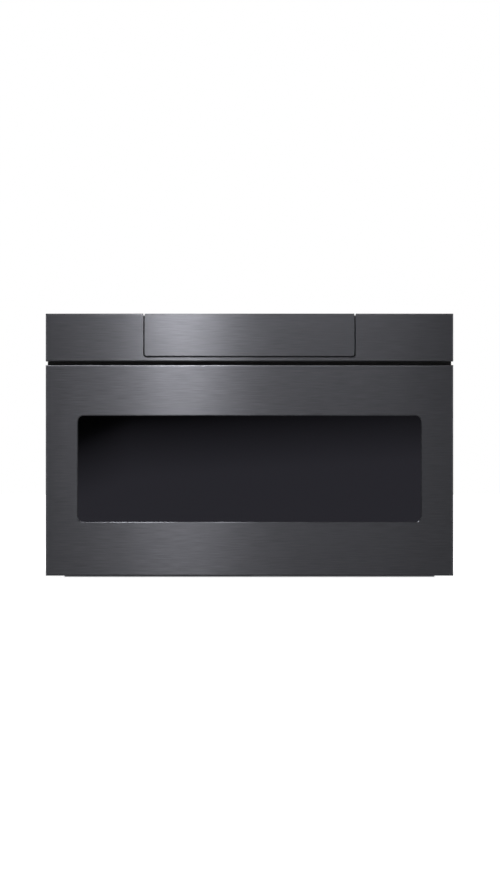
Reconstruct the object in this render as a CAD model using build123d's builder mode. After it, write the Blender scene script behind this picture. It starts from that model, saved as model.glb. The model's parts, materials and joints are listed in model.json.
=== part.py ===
from build123d import *

import os
from math import acos, ceil, cos, hypot, pi, radians, sin, tan

# Built-in microwave drawer, in millimetres.
# +Z is up, the front faces -Y and +X is to the right as seen from the front.
# The origin is the middle of the underside. Depths are measured back from the front face.

# ---------------------------------------------------------------- driving sizes
slip = 0.3                  # clearance between pieces that drop into or slide past each other
run_fit = 0.05              # radial clearance of a shaft in its hole

# front face
face_width = 606.4
door_height = 313.5
band_height = 71.1
panel_gap = 5.4             # dark line between door and band
floor_gap = 2.0             # door's lower edge above the underside
edge_radius = 1.8
skin_sheet = 1.0
door_depth = 24.0

# window
window_side = 48.05          # steel left and right of the window
window_height = 157.9
window_below_top = 75.6
window_radius = 8.0
window_lip = 3.0
lip_bevel = 1.3
glass_lap = 7.5
glass_thickness = 4.0

# door frame, choke and seal
door_plate = 1.2
choke_width = 24.0
choke_inner_corner = 10.0
choke_inset = 2.0           # choke's inner wall inside the line of the cavity wall
glazing_flange = 8.0
inner_glass_thickness = 3.0
cover_proud = 6.0
cover_bevel = 1.5
cover_lap = 2.0
seal_gap = 2.5
bumper_size = 10.0
bumper_inset_x = 28.0
bumper_inset_z = 14.0

# front frame
frame_sheet = 1.5
frame_inset = 2.3
mount_inset = 15.2          # mounting holes in from the face's sides
mount_spacing_z = 230.0
mount_low_z = 45.0
mount_hole_radius = 2.5
vent_length = 26.0
vent_width = 5.0
vent_pitch = 22.0
vent_count = 3
vent_x = 165.0
vent_z = 38.0

# cabinet
face_overlap = 27.2         # face past the cabinet on each side
cabinet_drop = 20.0         # cabinet's top below the band's
cabinet_depth = 554.0
case_sheet = 1.0
base_flange = 15.0
top_flange = 12.0
side_slots = 4
side_slot_length = 60.0
side_slot_width = 5.0
side_slot_pitch = 20.0
side_slot_depth = 515.0
side_slot_drop = 122.0
top_slots = 4
top_slot_length = 70.0
top_slot_width = 5.0
top_slot_pitch = 16.0
top_slot_x = 150.0
top_slot_depth = 500.0
rear_slots = 5
rear_slot_length = 80.0
rear_slot_width = 5.0
rear_slot_pitch = 18.0
rear_slot_x = 135.0
rear_slot_drop = 112.0
cord_hole_radius = 9.0
cord_bore_radius = 4.5
cord_inset = 61.0
cord_z = 60.0
grommet_flange = 2.0
grommet_groove = 1.0

# oven cavity
side_space = 55.0           # between the oven and the cabinet's sides
cavity_below_door_top = 49.5
cavity_depth = 420.0
cavity_floor = 85.0
cavity_sheet = 1.0
cavity_flange = 15.0

# stirrer and waveguide
stirrer_depth = 240.0
dome_size = 180.0
dome_draft = 20.0
dome_flange = 13.0
dome_height = 20.0
port_size = 56.0
stirrer_cover_size = 222.0
stirrer_cover_thickness = 2.0
blade_count = 3
blade_length = 60.0
blade_width = 26.0
blade_sheet = 1.2
blade_pitch = 22.0
stirrer_hub_radius = 8.0
stirrer_shaft_radius = 3.0
stirrer_motor_radius = 25.0
stirrer_motor_height = 16.0
guide_width = 80.0
guide_height = 40.0
guide_length = 365.0
guide_front_depth = 180.0
guide_sheet = 1.0
guide_flange = 9.0

# magnetron and cooling fan
magnetron_depth = 510.0
magnetron_width = 94.0
magnetron_length = 80.0
magnetron_height = 62.0
magnetron_plate = 1.5
fin_count = 3
fin_sheet = 1.0
anode_radius = 20.0
hidden_facets = 12          # sides of the round parts that nothing shows
antenna_radius = 8.0
antenna_height = 22.0
filter_box = (70.0, 60.0, 35.0)
shroud_size = 110.0
shroud_width = 35.0
shroud_x = 62.0
shroud_bottom = 185.0
fan_radius = 47.0
fan_clearance = 3.0
fan_hub_radius = 15.0
fan_blade_count = 5
fan_blade_width = 26.0
fan_blade_sheet = 1.6
fan_blade_pitch = 35.0
fan_motor_radius = 26.0
fan_motor_length = 42.0
fan_shaft_radius = 2.5
fan_hub_length = 18.0
spider_arm = 8.0
spider_depth = 5.0

# power supply
transformer_inset = 90.0
transformer_depth = 520.0
core_size = (96.0, 62.0, 80.0)
coil_size = (62.0, 98.0, 48.0)
foot_size = (112.0, 86.0)
foot_sheet = 2.0
capacitor_inset = 110.0
capacitor_depth = 520.0
can_width = 54.0
can_depth = 34.0
can_height = 85.0
strap_height = 14.0
strap_sheet = 1.5
strap_foot = 20.0
terminal_size = (6.0, 1.0, 9.0)
board_thickness = 1.6
standoff_height = 6.0
standoff_radius = 3.0
power_board_size = (126.0, 158.0)
power_board_inset = 42.0    # boards in from the oven's sides
power_board_depth = 150.0
filter_board_size = (96.0, 86.0)
filter_board_inset = 32.0
filter_board_depth = 135.0
relay_size = (19.0, 15.0, 16.0)
relay_count = 4
relay_pitch = 24.0
relay_at = (-9.0, -55.0)    # middle of the row of relays
heat_sink_size = (38.0, 34.0, 30.0)
heat_sink_at = (-30.0, 10.0)
small_transformer_size = (30.0, 46.0, 18.0)
small_transformer_at = (28.0, 14.0)
socket_strip_size = (50.0, 10.0, 12.0)
socket_strip_at = (-20.0, 60.0)
choke_coil_size = (28.0, 28.0, 22.0)
choke_coil_at = (-24.0, 8.0)
filter_can_size = (14.0, 30.0, 20.0)
filter_can_at = (16.0, 12.0)
filter_strip_size = (60.0, 10.0, 12.0)
filter_strip_at = (0.0, -26.0)
lamp_inset = 55.0
lamp_depth = 330.0
lamp_size = 44.0
lamp_height = 38.0
lamp_bulb_radius = 10.0
cutout_radius = 8.0
cutout_height = 8.0
cutout_plate = (28.0, 10.0, 1.0)
cutout_depth = 330.0

# drawer travel and telescopic slides
travel = 395.0
rail_length = 410.0
rail_z = 130.0
rail_front_gap = 2.0
rail_sheet = 1.4
rail_half_height = 22.85
rail_thickness = 12.7
rail_bend = 1.0
middle_half_height = 17.2
middle_sheet = 1.3
middle_web_u = 2.0
middle_reach = 9.0
inner_half_height = 11.2
inner_sheet = 1.3
inner_reach = 7.2
outer_ball_u = 7.0
inner_ball_u = 8.6
cage_length = 200.0
cage_width = 5.0
cage_window = 3.4
cage_window_pitch = 40.0
cage_windows = 4
slot_clearance = 1.3
bracket_sheet = 2.0
bracket_leg = 90.0
bracket_leg_height = 20.0
bracket_foot = 26.0
bracket_foot_height = 50.0

# tray
tray_side_gap = 5.0
tray_depth = 405.0
tray_below_cavity_top = 65.0
tray_wall = 3.0
tray_corner = 25.0
tray_lip = 4.0
tray_lip_height = 3.0
tray_draft = 2.0
tray_floor_bevel = 6.0
tray_lift = 6.0
tray_front_height = 27.0
tray_sweep = 40.0
tray_sweep_start = 28.0
tray_mount_margin = 1.0
tray_glass_margin = 20.0
tray_glass_thickness = 5.0
glide_width = 14.0
glide_length = 300.0
glide_inset = 65.0

# rack and pinion drive
gear_module = 2.0
pinion_tooth_count = 18
pressure_angle = 20.0
tooth_play = 0.1
pinion_x = 26.0
pinion_depth = 66.0
pinion_width = 13.0
tooth_root_lap = 1.0        # how far a tooth's outline runs into the pinion's body
rack_width = 12.0           # height of the bar
rack_back = 13.5            # from the roots of the teeth to the bar's back
rack_z = 30.0
spare_tooth_count = 3       # teeth past the pinion at each end of the travel
rack_foot_width = 50.0
rack_foot_height = 28.0
rack_foot_sheet = 3.0
drive_shaft_radius = 4.0
gearbox_size = (44.0, 44.0, 22.0)
motor_radius = 17.0
motor_length = 60.0
drive_plate = 4.0
drive_plate_margin = 8.0
guide_block_wall = 6.0
guide_block_length = 28.0
guide_block_grip = 12.0

# interlock
hook_outset = 15.0          # hooks outside and above the oven
hook_rise = 33.0
hook_size = 8.0
hook_length = 46.0
hook_foot = 22.0
hook_foot_sheet = 3.0
hook_clearance = 1.5
holder_width = 28.0
holder_height = 32.0
holder_depth = 50.0
switch_size = (20.0, 28.0, 16.0)

# tilting control panel
flap_width = 312.0
flap_height = 64.0
flap_side_gap = 2.0
flap_under_gap = 1.3
flap_corner = 5.0
flap_top_corner = 2.0
notch_corner = 5.0
hinge_inset = 4.0           # hinge axis behind the front and above the lower edge
flap_edge_radius = 1.6      # bend along the lower edge
flap_lower_return = 2.6
flap_return = 7.0
flap_top_return = 5.0
notch_return = 15.0
rear_flange = 9.0
ear_thickness = 4.0
ear_height = 5.0
ear_gap = 1.0
pin_radius = 1.5
cheek_thickness = 3.4
wedge_wall = 2.0
wedge_boss_radius = 2.7
wedge_crest = (1.5, 58.6)   # front end of the sloping key panel, from the hinge axis
wedge_heel = (40.8, 20.4)   # rear end of the sloping key panel, from the hinge axis
wedge_heel_low = 14.0
wedge_toe = (5.0, 0.0)
key_panel_thickness = 3.0
key_panel_corner = 2.0
key_panel_inset = 0.5
housing_wall = 2.0
housing_depth = 42.0        # from the ends of the notch returns to its back
housing_side = 4.0
housing_roof_gap = 1.5
housing_flange = 14.0
board_drop = 6.0
control_board_size = (270.0, 34.0)
display_size = (58.0, 20.0)
display_x = 0.0
catch_size = (24.0, 12.0)
catch_drop = 48.5

# ---------------------------------------------------------------- worked-out places
door_bottom = floor_gap
door_top = door_bottom + door_height
door_mid_z = (door_bottom + door_top) / 2
band_bottom = door_top + panel_gap
band_top = band_bottom + band_height
window_width = face_width - 2 * window_side
window_mid_z = door_top - window_below_top - window_height / 2
cover_back = door_depth + cover_proud
frame_front = cover_back + seal_gap
frame_back = frame_front + frame_sheet
cabinet_width = face_width - 2 * face_overlap
cabinet_height = band_top - cabinet_drop
case_back = frame_back + cabinet_depth
rear_face = case_back + case_sheet
overall_depth = rear_face + grommet_flange
front_y = -overall_depth / 2
case_mid_depth = frame_back + cabinet_depth / 2
inner_width = cabinet_width - 2 * case_sheet
cavity_width = inner_width - 2 * side_space
cavity_height = door_top - cavity_below_door_top - cavity_floor
cavity_back = frame_back + cavity_depth
cavity_mid_z = cavity_floor + cavity_height / 2
cavity_top = cavity_floor + cavity_height + cavity_sheet
dome_top = cavity_top + dome_height
guide_top = dome_top + guide_height + 2 * guide_sheet
mount_spacing_x = face_width - 2 * mount_inset
mount_mid_z = mount_low_z + mount_spacing_z / 2
cord_x = cabinet_width / 2 - cord_inset
tray_width = cavity_width - 2 * tray_side_gap
tray_height = cavity_height - tray_below_cavity_top - tray_lift
glide_x = tray_width / 2 - glide_inset
hook_x = cavity_width / 2 + hook_outset
hook_z = cavity_floor + cavity_height + hook_rise
catch_z = band_top - catch_drop
flap_bottom = band_top - flap_height
hinge_z = flap_bottom + hinge_inset
notch_width = flap_width + 2 * flap_side_gap
notch_bottom = flap_bottom - flap_under_gap


def back(depth):
    """Y of a depth behind the front face."""
    return front_y + depth


def wall(depth):
    """Upright plane at a depth: local axes +X and +Z, and extruding goes to the front."""
    return Plane((0, back(depth), 0), x_dir=(1, 0, 0), z_dir=(0, -1, 0))


def side(x):
    """Upright plane at an X: local axes +Y and +Z, and extruding goes to +X."""
    return Plane.YZ.offset(x)


def level(z):
    """Level plane at a height: extruding goes up."""
    return Plane.XY.offset(z)


def off_hinge(u, v):
    """Point of a side plane that lies u behind and v above the control panel's hinge."""
    return (back(hinge_inset) + u, hinge_z + v)


def both_sides(x, z):
    """The same point left and right of the middle."""
    return [(-x, z), (x, z)]


# ---------------------------------------------------------------- door
glass_front = window_lip
glass_back = glass_front + glass_thickness
plate_fit = skin_sheet + slip

with BuildPart() as door_skin:
    with BuildSketch(wall(door_depth)):
        with Locations((0, door_mid_z)):
            Rectangle(face_width, door_height)
    extrude(amount=door_depth)
    fillet(door_skin.faces().sort_by(Axis.Y)[0].edges(), edge_radius)
    with BuildSketch(wall(door_depth)):
        with Locations((0, door_mid_z)):
            Rectangle(face_width - 2 * skin_sheet, door_height - 2 * skin_sheet)
    extrude(amount=door_depth - skin_sheet, mode=Mode.SUBTRACT)
    with BuildSketch(wall(window_lip)):
        with Locations((0, window_mid_z)):
            RectangleRounded(
                window_width + 2 * skin_sheet,
                window_height + 2 * skin_sheet,
                window_radius + skin_sheet,
            )
    extrude(amount=window_lip)
    with BuildSketch(wall(door_depth)):
        with Locations((0, window_mid_z)):
            RectangleRounded(window_width, window_height, window_radius)
    extrude(amount=door_depth, mode=Mode.SUBTRACT)
    window_rim = door_skin.faces().sort_by(Axis.Y)[0].inner_wires()[0].edges()
    chamfer(window_rim, lip_bevel)

with BuildPart() as door_glass:
    with BuildSketch(wall(glass_back)):
        with Locations((0, window_mid_z)):
            RectangleRounded(
                window_width + 2 * glass_lap,
                window_height + 2 * glass_lap,
                window_radius + glass_lap,
            )
    extrude(amount=glass_thickness)

choke_outer_width = cavity_width + 2 * choke_width
choke_outer_height = cavity_height + 2 * choke_width
choke_inner_width = cavity_width - 2 * choke_inset
choke_inner_height = cavity_height - 2 * choke_inset
choke_corner = choke_inner_corner + choke_width
tray_bottom = cavity_floor + tray_lift
tray_mount_top = tray_bottom + tray_front_height
cover_inner_width = choke_inner_width - 2 * cover_lap
cover_inner_height = choke_inner_height - 2 * cover_lap
tray_plate_width = tray_width - 2 * tray_corner

with BuildPart() as door_frame:
    with BuildSketch(wall(door_depth)):
        with Locations((0, door_mid_z)):
            Rectangle(face_width - 2 * plate_fit, door_height - 2 * plate_fit)
        with Locations((0, cavity_mid_z)):
            RectangleRounded(
                choke_outer_width - 2 * door_plate,
                choke_outer_height - 2 * door_plate,
                choke_corner - door_plate,
                mode=Mode.SUBTRACT,
            )
    extrude(amount=door_plate)
    with BuildSketch(wall(door_depth)):
        with Locations((0, cavity_mid_z)):
            RectangleRounded(choke_outer_width, choke_outer_height, choke_corner)
    extrude(amount=door_depth - glass_back)
    with BuildSketch(wall(door_depth)):
        with Locations((0, cavity_mid_z)):
            RectangleRounded(
                choke_outer_width - 2 * door_plate,
                choke_outer_height - 2 * door_plate,
                choke_corner - door_plate,
            )
    extrude(amount=door_depth - glass_back - door_plate, mode=Mode.SUBTRACT)
    with BuildSketch(wall(door_depth)):
        with Locations((0, cavity_mid_z)):
            RectangleRounded(choke_inner_width, choke_inner_height, choke_inner_corner)
            RectangleRounded(
                choke_inner_width - 2 * door_plate,
                choke_inner_height - 2 * door_plate,
                choke_inner_corner - door_plate,
                mode=Mode.SUBTRACT,
            )
    extrude(amount=door_depth - glass_back)
    with BuildSketch(wall(door_depth)):
        with Locations((0, cavity_mid_z)):
            RectangleRounded(choke_inner_width, choke_inner_height, choke_inner_corner)
        glazed_bottom = tray_mount_top + tray_mount_margin + glazing_flange
        glazed_top = cavity_mid_z + choke_inner_height / 2 - glazing_flange
        with Locations((0, (glazed_bottom + glazed_top) / 2)):
            Rectangle(
                choke_inner_width - 2 * glazing_flange,
                glazed_top - glazed_bottom,
                mode=Mode.SUBTRACT,
            )
    extrude(amount=door_plate)

with BuildPart() as choke_cover:
    with BuildSketch(wall(cover_back)):
        with Locations((0, cavity_mid_z)):
            RectangleRounded(
                choke_outer_width + 2 * cover_lap,
                choke_outer_height + 2 * cover_lap,
                choke_corner + cover_lap,
            )
    extrude(amount=cover_proud)
    with BuildSketch(wall(cover_back)):
        with Locations((0, cavity_mid_z)):
            RectangleRounded(cover_inner_width, cover_inner_height, choke_inner_corner)
    extrude(amount=cover_proud, mode=Mode.SUBTRACT)
    chamfer(choke_cover.faces().sort_by(Axis.Y)[-1].outer_wire().edges(), cover_bevel)

inner_glass_width = cover_inner_width - 2 * slip
inner_glass_bottom = tray_mount_top + tray_mount_margin
inner_glass_top = cavity_mid_z + cover_inner_height / 2 - slip

with BuildPart() as inner_window:
    with BuildSketch(wall(door_depth + inner_glass_thickness)):
        with Locations((0, (inner_glass_bottom + inner_glass_top) / 2)):
            inner_pane = Rectangle(inner_glass_width, inner_glass_top - inner_glass_bottom)
        fillet(inner_pane.vertices().group_by(Axis.Y)[-1], choke_inner_corner)
    extrude(amount=inner_glass_thickness)

with BuildPart() as latch_hooks:
    with BuildSketch(wall(door_depth + hook_foot_sheet)):
        with Locations(*both_sides(hook_x, hook_z)):
            Rectangle(hook_foot, hook_size)
    extrude(amount=hook_foot_sheet)
    with BuildSketch(wall(door_depth + hook_length)):
        with Locations(*both_sides(hook_x, hook_z)):
            Rectangle(hook_size, hook_size)
    extrude(amount=hook_length)
    chamfer(latch_hooks.faces().group_by(Axis.Y)[-1].edges(), hook_size / 4)

with BuildPart() as door_bumpers:
    with BuildSketch(wall(frame_front - slip)):
        with Locations(
            *both_sides(face_width / 2 - bumper_inset_x, door_bottom + bumper_inset_z),
            *both_sides(face_width / 2 - bumper_inset_x, door_top - bumper_inset_z),
        ):
            Rectangle(bumper_size, bumper_size)
    extrude(amount=frame_front - slip - door_depth)

# ---------------------------------------------------------------- tray
tray_mid_depth = door_depth + tray_depth / 2
tray_top = tray_bottom + tray_height
body_width = tray_width - 2 * tray_lip
body_depth = tray_depth - 2 * tray_lip
body_corner = tray_corner - tray_lip
tray_shrink = tray_height * tan(radians(tray_draft))
tray_plate_back = door_depth + tray_lip + tray_wall + tray_shrink

with BuildPart() as drawer_tray:
    with BuildSketch(level(tray_top)):
        with Locations((0, back(tray_mid_depth))):
            RectangleRounded(body_width, body_depth, body_corner)
    extrude(amount=-tray_height, taper=tray_draft)
    chamfer(drawer_tray.faces().sort_by(Axis.Z)[0].edges(), tray_floor_bevel)
    with BuildSketch(level(tray_top)):
        with Locations((0, back(tray_mid_depth))):
            RectangleRounded(
                body_width - 2 * tray_wall,
                body_depth - 2 * tray_wall,
                body_corner - tray_wall,
            )
    extrude(amount=tray_wall - tray_height, taper=tray_draft, mode=Mode.SUBTRACT)
    inside_floor = drawer_tray.faces().filter_by(Axis.Z).sort_by(Axis.Z)[1]
    chamfer(inside_floor.edges(), tray_floor_bevel)
    with BuildSketch(level(tray_top)):
        with Locations((0, back(tray_mid_depth))):
            RectangleRounded(tray_width, tray_depth, tray_corner)
            RectangleRounded(
                body_width - 2 * tray_wall,
                body_depth - 2 * tray_wall,
                body_corner - tray_wall,
                mode=Mode.SUBTRACT,
            )
    extrude(amount=-tray_lip_height)
    sweep_start = back(door_depth + tray_sweep_start)
    sweep_end = sweep_start + tray_sweep
    sweep_top = tray_mount_top + tray_sweep
    with BuildSketch(side(0)):
        with BuildLine():
            Line((back(0), tray_mount_top), (sweep_start, tray_mount_top))
            JernArc((sweep_start, tray_mount_top), (1, 0), tray_sweep, 90)
            Line((sweep_end, sweep_top), (sweep_end, tray_top + tray_height))
            Line((sweep_end, tray_top + tray_height), (back(0), tray_top + tray_height))
            Line((back(0), tray_top + tray_height), (back(0), tray_mount_top))
        make_face()
    extrude(amount=tray_width, both=True, mode=Mode.SUBTRACT)
    with BuildSketch(wall(tray_plate_back)):
        with Locations((0, tray_bottom + tray_front_height / 2)):
            Rectangle(tray_plate_width, tray_front_height)
    extrude(amount=tray_plate_back - door_depth)

with BuildPart() as tray_glass:
    with BuildSketch(level(tray_bottom + tray_wall)):
        with Locations((0, back(tray_mid_depth))):
            RectangleRounded(
                body_width - 2 * tray_glass_margin,
                body_depth - 2 * tray_glass_margin,
                body_corner,
            )
    extrude(amount=tray_glass_thickness)

with BuildPart() as tray_glides:
    with BuildSketch(level(cavity_floor + slip)):
        with Locations(*both_sides(glide_x, back(tray_mid_depth))):
            Rectangle(glide_width, glide_length)
    extrude(amount=tray_lift - slip)

# ---------------------------------------------------------------- telescopic slides
panel_inner = inner_width / 2
rail_front = frame_back + rail_front_gap
rail_back = rail_front + rail_length
outer_leg_inside = rail_half_height - rail_sheet
middle_leg_inside = middle_half_height - middle_sheet


def channel(web_u, reach, half_height, sheet):
    """C section of the right slide: u runs inwards from the side panel, and reach is signed."""
    web_x = panel_inner - web_u
    direction = -1 if reach > 0 else 1
    centre_x = web_x + direction * abs(reach) / 2
    with Locations((centre_x, rail_z)):
        outline = Rectangle(abs(reach), 2 * half_height)
    bends = outline.vertices().group_by(Axis.X)[-1 if reach > 0 else 0]
    fillet(bends, rail_bend)
    with Locations((centre_x + direction * sheet, rail_z)):
        Rectangle(abs(reach), 2 * (half_height - sheet), mode=Mode.SUBTRACT)


with BuildPart() as rail_outer_right:
    with BuildSketch(wall(rail_back)):
        channel(0, rail_thickness - slip, rail_half_height, rail_sheet)
    extrude(amount=rail_length)

with BuildPart() as rail_middle_right:
    with BuildSketch(wall(rail_back)):
        channel(middle_web_u, middle_reach, middle_half_height, middle_sheet)
    extrude(amount=rail_length)

with BuildPart() as rail_inner_right:
    with BuildSketch(wall(rail_back)):
        channel(rail_thickness, -inner_reach, inner_half_height, inner_sheet)
    extrude(amount=rail_length)

bracket_x = panel_inner - rail_thickness - bracket_sheet
bracket_depth = rail_front + bracket_leg

with BuildPart() as door_bracket_right:
    with BuildSketch(wall(bracket_depth)):
        with Locations((bracket_x + bracket_sheet / 2, rail_z)):
            Rectangle(bracket_sheet, bracket_leg_height)
    extrude(amount=bracket_depth - door_depth)
    with BuildSketch(wall(door_depth + bracket_sheet)):
        with Locations((bracket_x + bracket_foot / 2, rail_z)):
            Rectangle(bracket_foot, bracket_foot_height)
    extrude(amount=bracket_sheet)
    foot_corners = door_bracket_right.edges().filter_by(Axis.Y).group_by(Axis.X)[-1]
    fillet(foot_corners, bracket_sheet)


def mirrored(piece):
    """The same piece for the left side."""
    with BuildPart() as copy:
        mirror(piece.part, about=Plane.YZ)
    return copy


rail_outer_left = mirrored(rail_outer_right)
rail_middle_left = mirrored(rail_middle_right)
rail_inner_left = mirrored(rail_inner_right)
door_bracket_left = mirrored(door_bracket_right)


def ball_cages(ball_u, inside, outside):
    """Four ball retainers between two legs of the slides, above and below, left and right."""
    middle_v = (inside + outside) / 2
    thickness = outside - inside - 2 * slip
    cage_mid = back(rail_front + rail_length / 4 + cage_length / 2)
    with BuildPart() as cages:
        for v in (-middle_v, middle_v):
            with BuildSketch(level(rail_z + v - thickness / 2)):
                with Locations(*both_sides(panel_inner - ball_u, cage_mid)):
                    Rectangle(cage_width, cage_length)
                    with GridLocations(1, cage_window_pitch, 1, cage_windows):
                        Rectangle(cage_window, cage_window, mode=Mode.SUBTRACT)
            extrude(amount=thickness)
    return cages


ball_cages_outer = ball_cages(outer_ball_u, middle_half_height, outer_leg_inside)
ball_cages_inner = ball_cages(inner_ball_u, inner_half_height, middle_leg_inside)

# ---------------------------------------------------------------- rack and pinion
pitch_radius = gear_module * pinion_tooth_count / 2
tooth_pitch = pi * gear_module
tooth_thickness = tooth_pitch / 2 - tooth_play
addendum = gear_module
dedendum = 1.25 * gear_module
base_radius = pitch_radius * cos(radians(pressure_angle))
root_radius = pitch_radius - dedendum
tip_radius = pitch_radius + addendum
pinion_at = (pinion_x, back(pinion_depth))
rack_pitch_x = pinion_x - pitch_radius
rack_root_x = rack_pitch_x - dedendum
rack_tip_x = rack_pitch_x + addendum
rack_back_x = rack_root_x - rack_back
rack_tooth_count = ceil(travel / tooth_pitch) + 2 * spare_tooth_count
rack_mid_z = rack_z + rack_width / 2
pinion_z = rack_mid_z - pinion_width / 2
gearbox_bottom = case_sheet + drive_plate
gearbox_top = gearbox_bottom + gearbox_size[2]


def involute(angle):
    return tan(angle) - angle


def flank(radius):
    """Point of a tooth's upper flank at a radius, for a tooth that points along +X."""
    turn = tooth_thickness / (2 * pitch_radius) + involute(radians(pressure_angle))
    turn -= involute(acos(base_radius / radius))
    return (radius * cos(turn), radius * sin(turn))


def lower(point):
    return (point[0], -point[1])


with BuildSketch() as pinion_tooth:
    base_point = flank(base_radius)
    pitch_point = flank(pitch_radius)
    tip_point = flank(tip_radius)
    foot_point = (root_radius - tooth_root_lap, base_point[1])
    with BuildLine():
        Line(lower(foot_point), lower(base_point))
        ThreePointArc(lower(base_point), lower(pitch_point), lower(tip_point))
        Line(lower(tip_point), tip_point)
        ThreePointArc(tip_point, pitch_point, base_point)
        Line(base_point, foot_point)
        Line(foot_point, lower(foot_point))
    make_face()

with BuildPart() as drive_pinion:
    with BuildSketch(level(pinion_z)):
        with Locations(pinion_at):
            Circle(root_radius)
            with PolarLocations(0, pinion_tooth_count, start_angle=180):
                add(pinion_tooth.sketch)
    extrude(amount=pinion_width)
    with BuildSketch(level(gearbox_bottom + gearbox_size[2] / 4)):
        with Locations(pinion_at):
            Circle(drive_shaft_radius)
    extrude(until=Until.NEXT, target=drive_pinion.part)

rack_start = back(door_depth)
rack_end_gap = tooth_pitch / 2
rack_first = back(pinion_depth) - (spare_tooth_count - 0.5) * tooth_pitch
rack_end = rack_first + (rack_tooth_count - 1) * tooth_pitch + rack_end_gap
root_half = tooth_thickness / 2 + dedendum * tan(radians(pressure_angle))
tip_half = tooth_thickness / 2 - addendum * tan(radians(pressure_angle))


def rack_outline():
    """Corners of the toothed edge, from front to back."""
    corners = [(rack_root_x, rack_start)]
    for number in range(rack_tooth_count):
        centre = rack_first + number * tooth_pitch
        corners.append((rack_root_x, centre - root_half))
        corners.append((rack_tip_x, centre - tip_half))
        corners.append((rack_tip_x, centre + tip_half))
        corners.append((rack_root_x, centre + root_half))
    corners.append((rack_root_x, rack_end))
    corners.append((rack_back_x, rack_end))
    corners.append((rack_back_x, rack_start))
    return corners


with BuildPart() as drive_rack:
    with BuildSketch(level(rack_z)):
        with BuildLine():
            Polyline(*rack_outline(), close=True)
        make_face()
    extrude(amount=rack_width)
    with BuildSketch(wall(door_depth + rack_foot_sheet)):
        with Locations(((rack_root_x + rack_back_x) / 2, rack_mid_z)):
            Rectangle(rack_foot_width, rack_foot_height)
    extrude(amount=rack_foot_sheet)

guide_block_left = rack_back_x - slip - guide_block_wall
guide_block_height = rack_z + rack_width + slip + guide_block_wall - case_sheet
guide_block_width = guide_block_wall + slip + guide_block_grip

with BuildPart() as rack_guide:
    with BuildSketch(wall(pinion_depth + guide_block_length / 2)):
        with Locations(
            (guide_block_left + guide_block_width / 2, case_sheet + guide_block_height / 2)
        ):
            Rectangle(guide_block_width, guide_block_height)
        with Locations((rack_back_x - slip + guide_block_width / 2, rack_mid_z)):
            Rectangle(guide_block_width, rack_width + 2 * slip, mode=Mode.SUBTRACT)
    extrude(amount=guide_block_length)

motor_start = pinion_x + gearbox_size[0] / 2
motor_z = case_sheet + slip + motor_radius
plate_length = gearbox_size[0] + 2 * drive_plate_margin

with BuildPart() as drive_motor:
    with BuildSketch(level(gearbox_bottom)):
        with Locations(pinion_at):
            Rectangle(gearbox_size[0], gearbox_size[1])
    extrude(amount=gearbox_size[2])
    with BuildSketch(side(motor_start)):
        with Locations((back(pinion_depth), motor_z)):
            Circle(motor_radius)
    extrude(amount=motor_length)
    chamfer(drive_motor.faces().sort_by(Axis.X)[-1].edges(), motor_radius / 8)
    with BuildSketch(level(gearbox_top)):
        with Locations(pinion_at):
            Circle(drive_shaft_radius + run_fit)
    extrude(amount=-3 * gearbox_size[2] / 4 - slip, mode=Mode.SUBTRACT)

with BuildPart() as drive_bracket:
    with BuildSketch(level(case_sheet)):
        with Locations(pinion_at):
            Rectangle(gearbox_size[0], plate_length)
    extrude(amount=drive_plate)

# ---------------------------------------------------------------- front frame and cabinet
frame_bottom = door_bottom
frame_top = band_top - frame_inset
rail_slot_x = bracket_x - slot_clearance / 2
rail_slot_width = panel_inner - middle_web_u + slot_clearance / 2 - rail_slot_x
rail_slot_height = 2 * (middle_half_height + slot_clearance)
housing_width = notch_width + 2 * housing_side
housing_front = notch_return + slip
housing_back = housing_front + housing_depth
housing_floor = notch_bottom - housing_wall
housing_top = cabinet_height - housing_roof_gap
rack_slot_width = rack_tip_x - rack_back_x + 2 * slot_clearance

with BuildPart() as front_frame:
    with BuildSketch(wall(frame_back)):
        with Locations((0, (frame_bottom + frame_top) / 2)):
            Rectangle(face_width - 2 * frame_inset, frame_top - frame_bottom)
        with Locations((0, cavity_mid_z)):
            Rectangle(cavity_width, cavity_height, mode=Mode.SUBTRACT)
        with Locations(*both_sides(rail_slot_x + rail_slot_width / 2, rail_z)):
            Rectangle(rail_slot_width, rail_slot_height, mode=Mode.SUBTRACT)
        with Locations(((rack_tip_x + rack_back_x) / 2, rack_mid_z)):
            Rectangle(
                rack_slot_width, rack_width + 2 * slot_clearance, mode=Mode.SUBTRACT
            )
        with Locations(*both_sides(hook_x, hook_z)):
            Rectangle(
                hook_size + 2 * hook_clearance,
                hook_size + 2 * hook_clearance,
                mode=Mode.SUBTRACT,
            )
        with Locations((0, (housing_floor + band_top) / 2)):
            Rectangle(
                housing_width + 2 * slip,
                band_top - housing_floor + 2 * slip,
                mode=Mode.SUBTRACT,
            )
        with Locations((0, mount_mid_z)):
            with GridLocations(mount_spacing_x, mount_spacing_z, 2, 2):
                Circle(mount_hole_radius, mode=Mode.SUBTRACT)
        with Locations(*both_sides(vent_x, vent_z)):
            with GridLocations(vent_pitch, 1, vent_count, 1):
                Rectangle(vent_width, vent_length, mode=Mode.SUBTRACT)
    extrude(amount=frame_sheet)


with BuildPart() as base_plate:
    with BuildSketch(level(0)):
        with Locations((0, back(case_mid_depth))):
            Rectangle(inner_width, cabinet_depth)
    extrude(amount=case_sheet)
    with BuildSketch(level(0)):
        with Locations((0, back(case_mid_depth))):
            Rectangle(inner_width, cabinet_depth)
        with Locations((0, back(case_mid_depth - case_sheet))):
            Rectangle(inner_width - 2 * case_sheet, cabinet_depth, mode=Mode.SUBTRACT)
    extrude(amount=base_flange)

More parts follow.
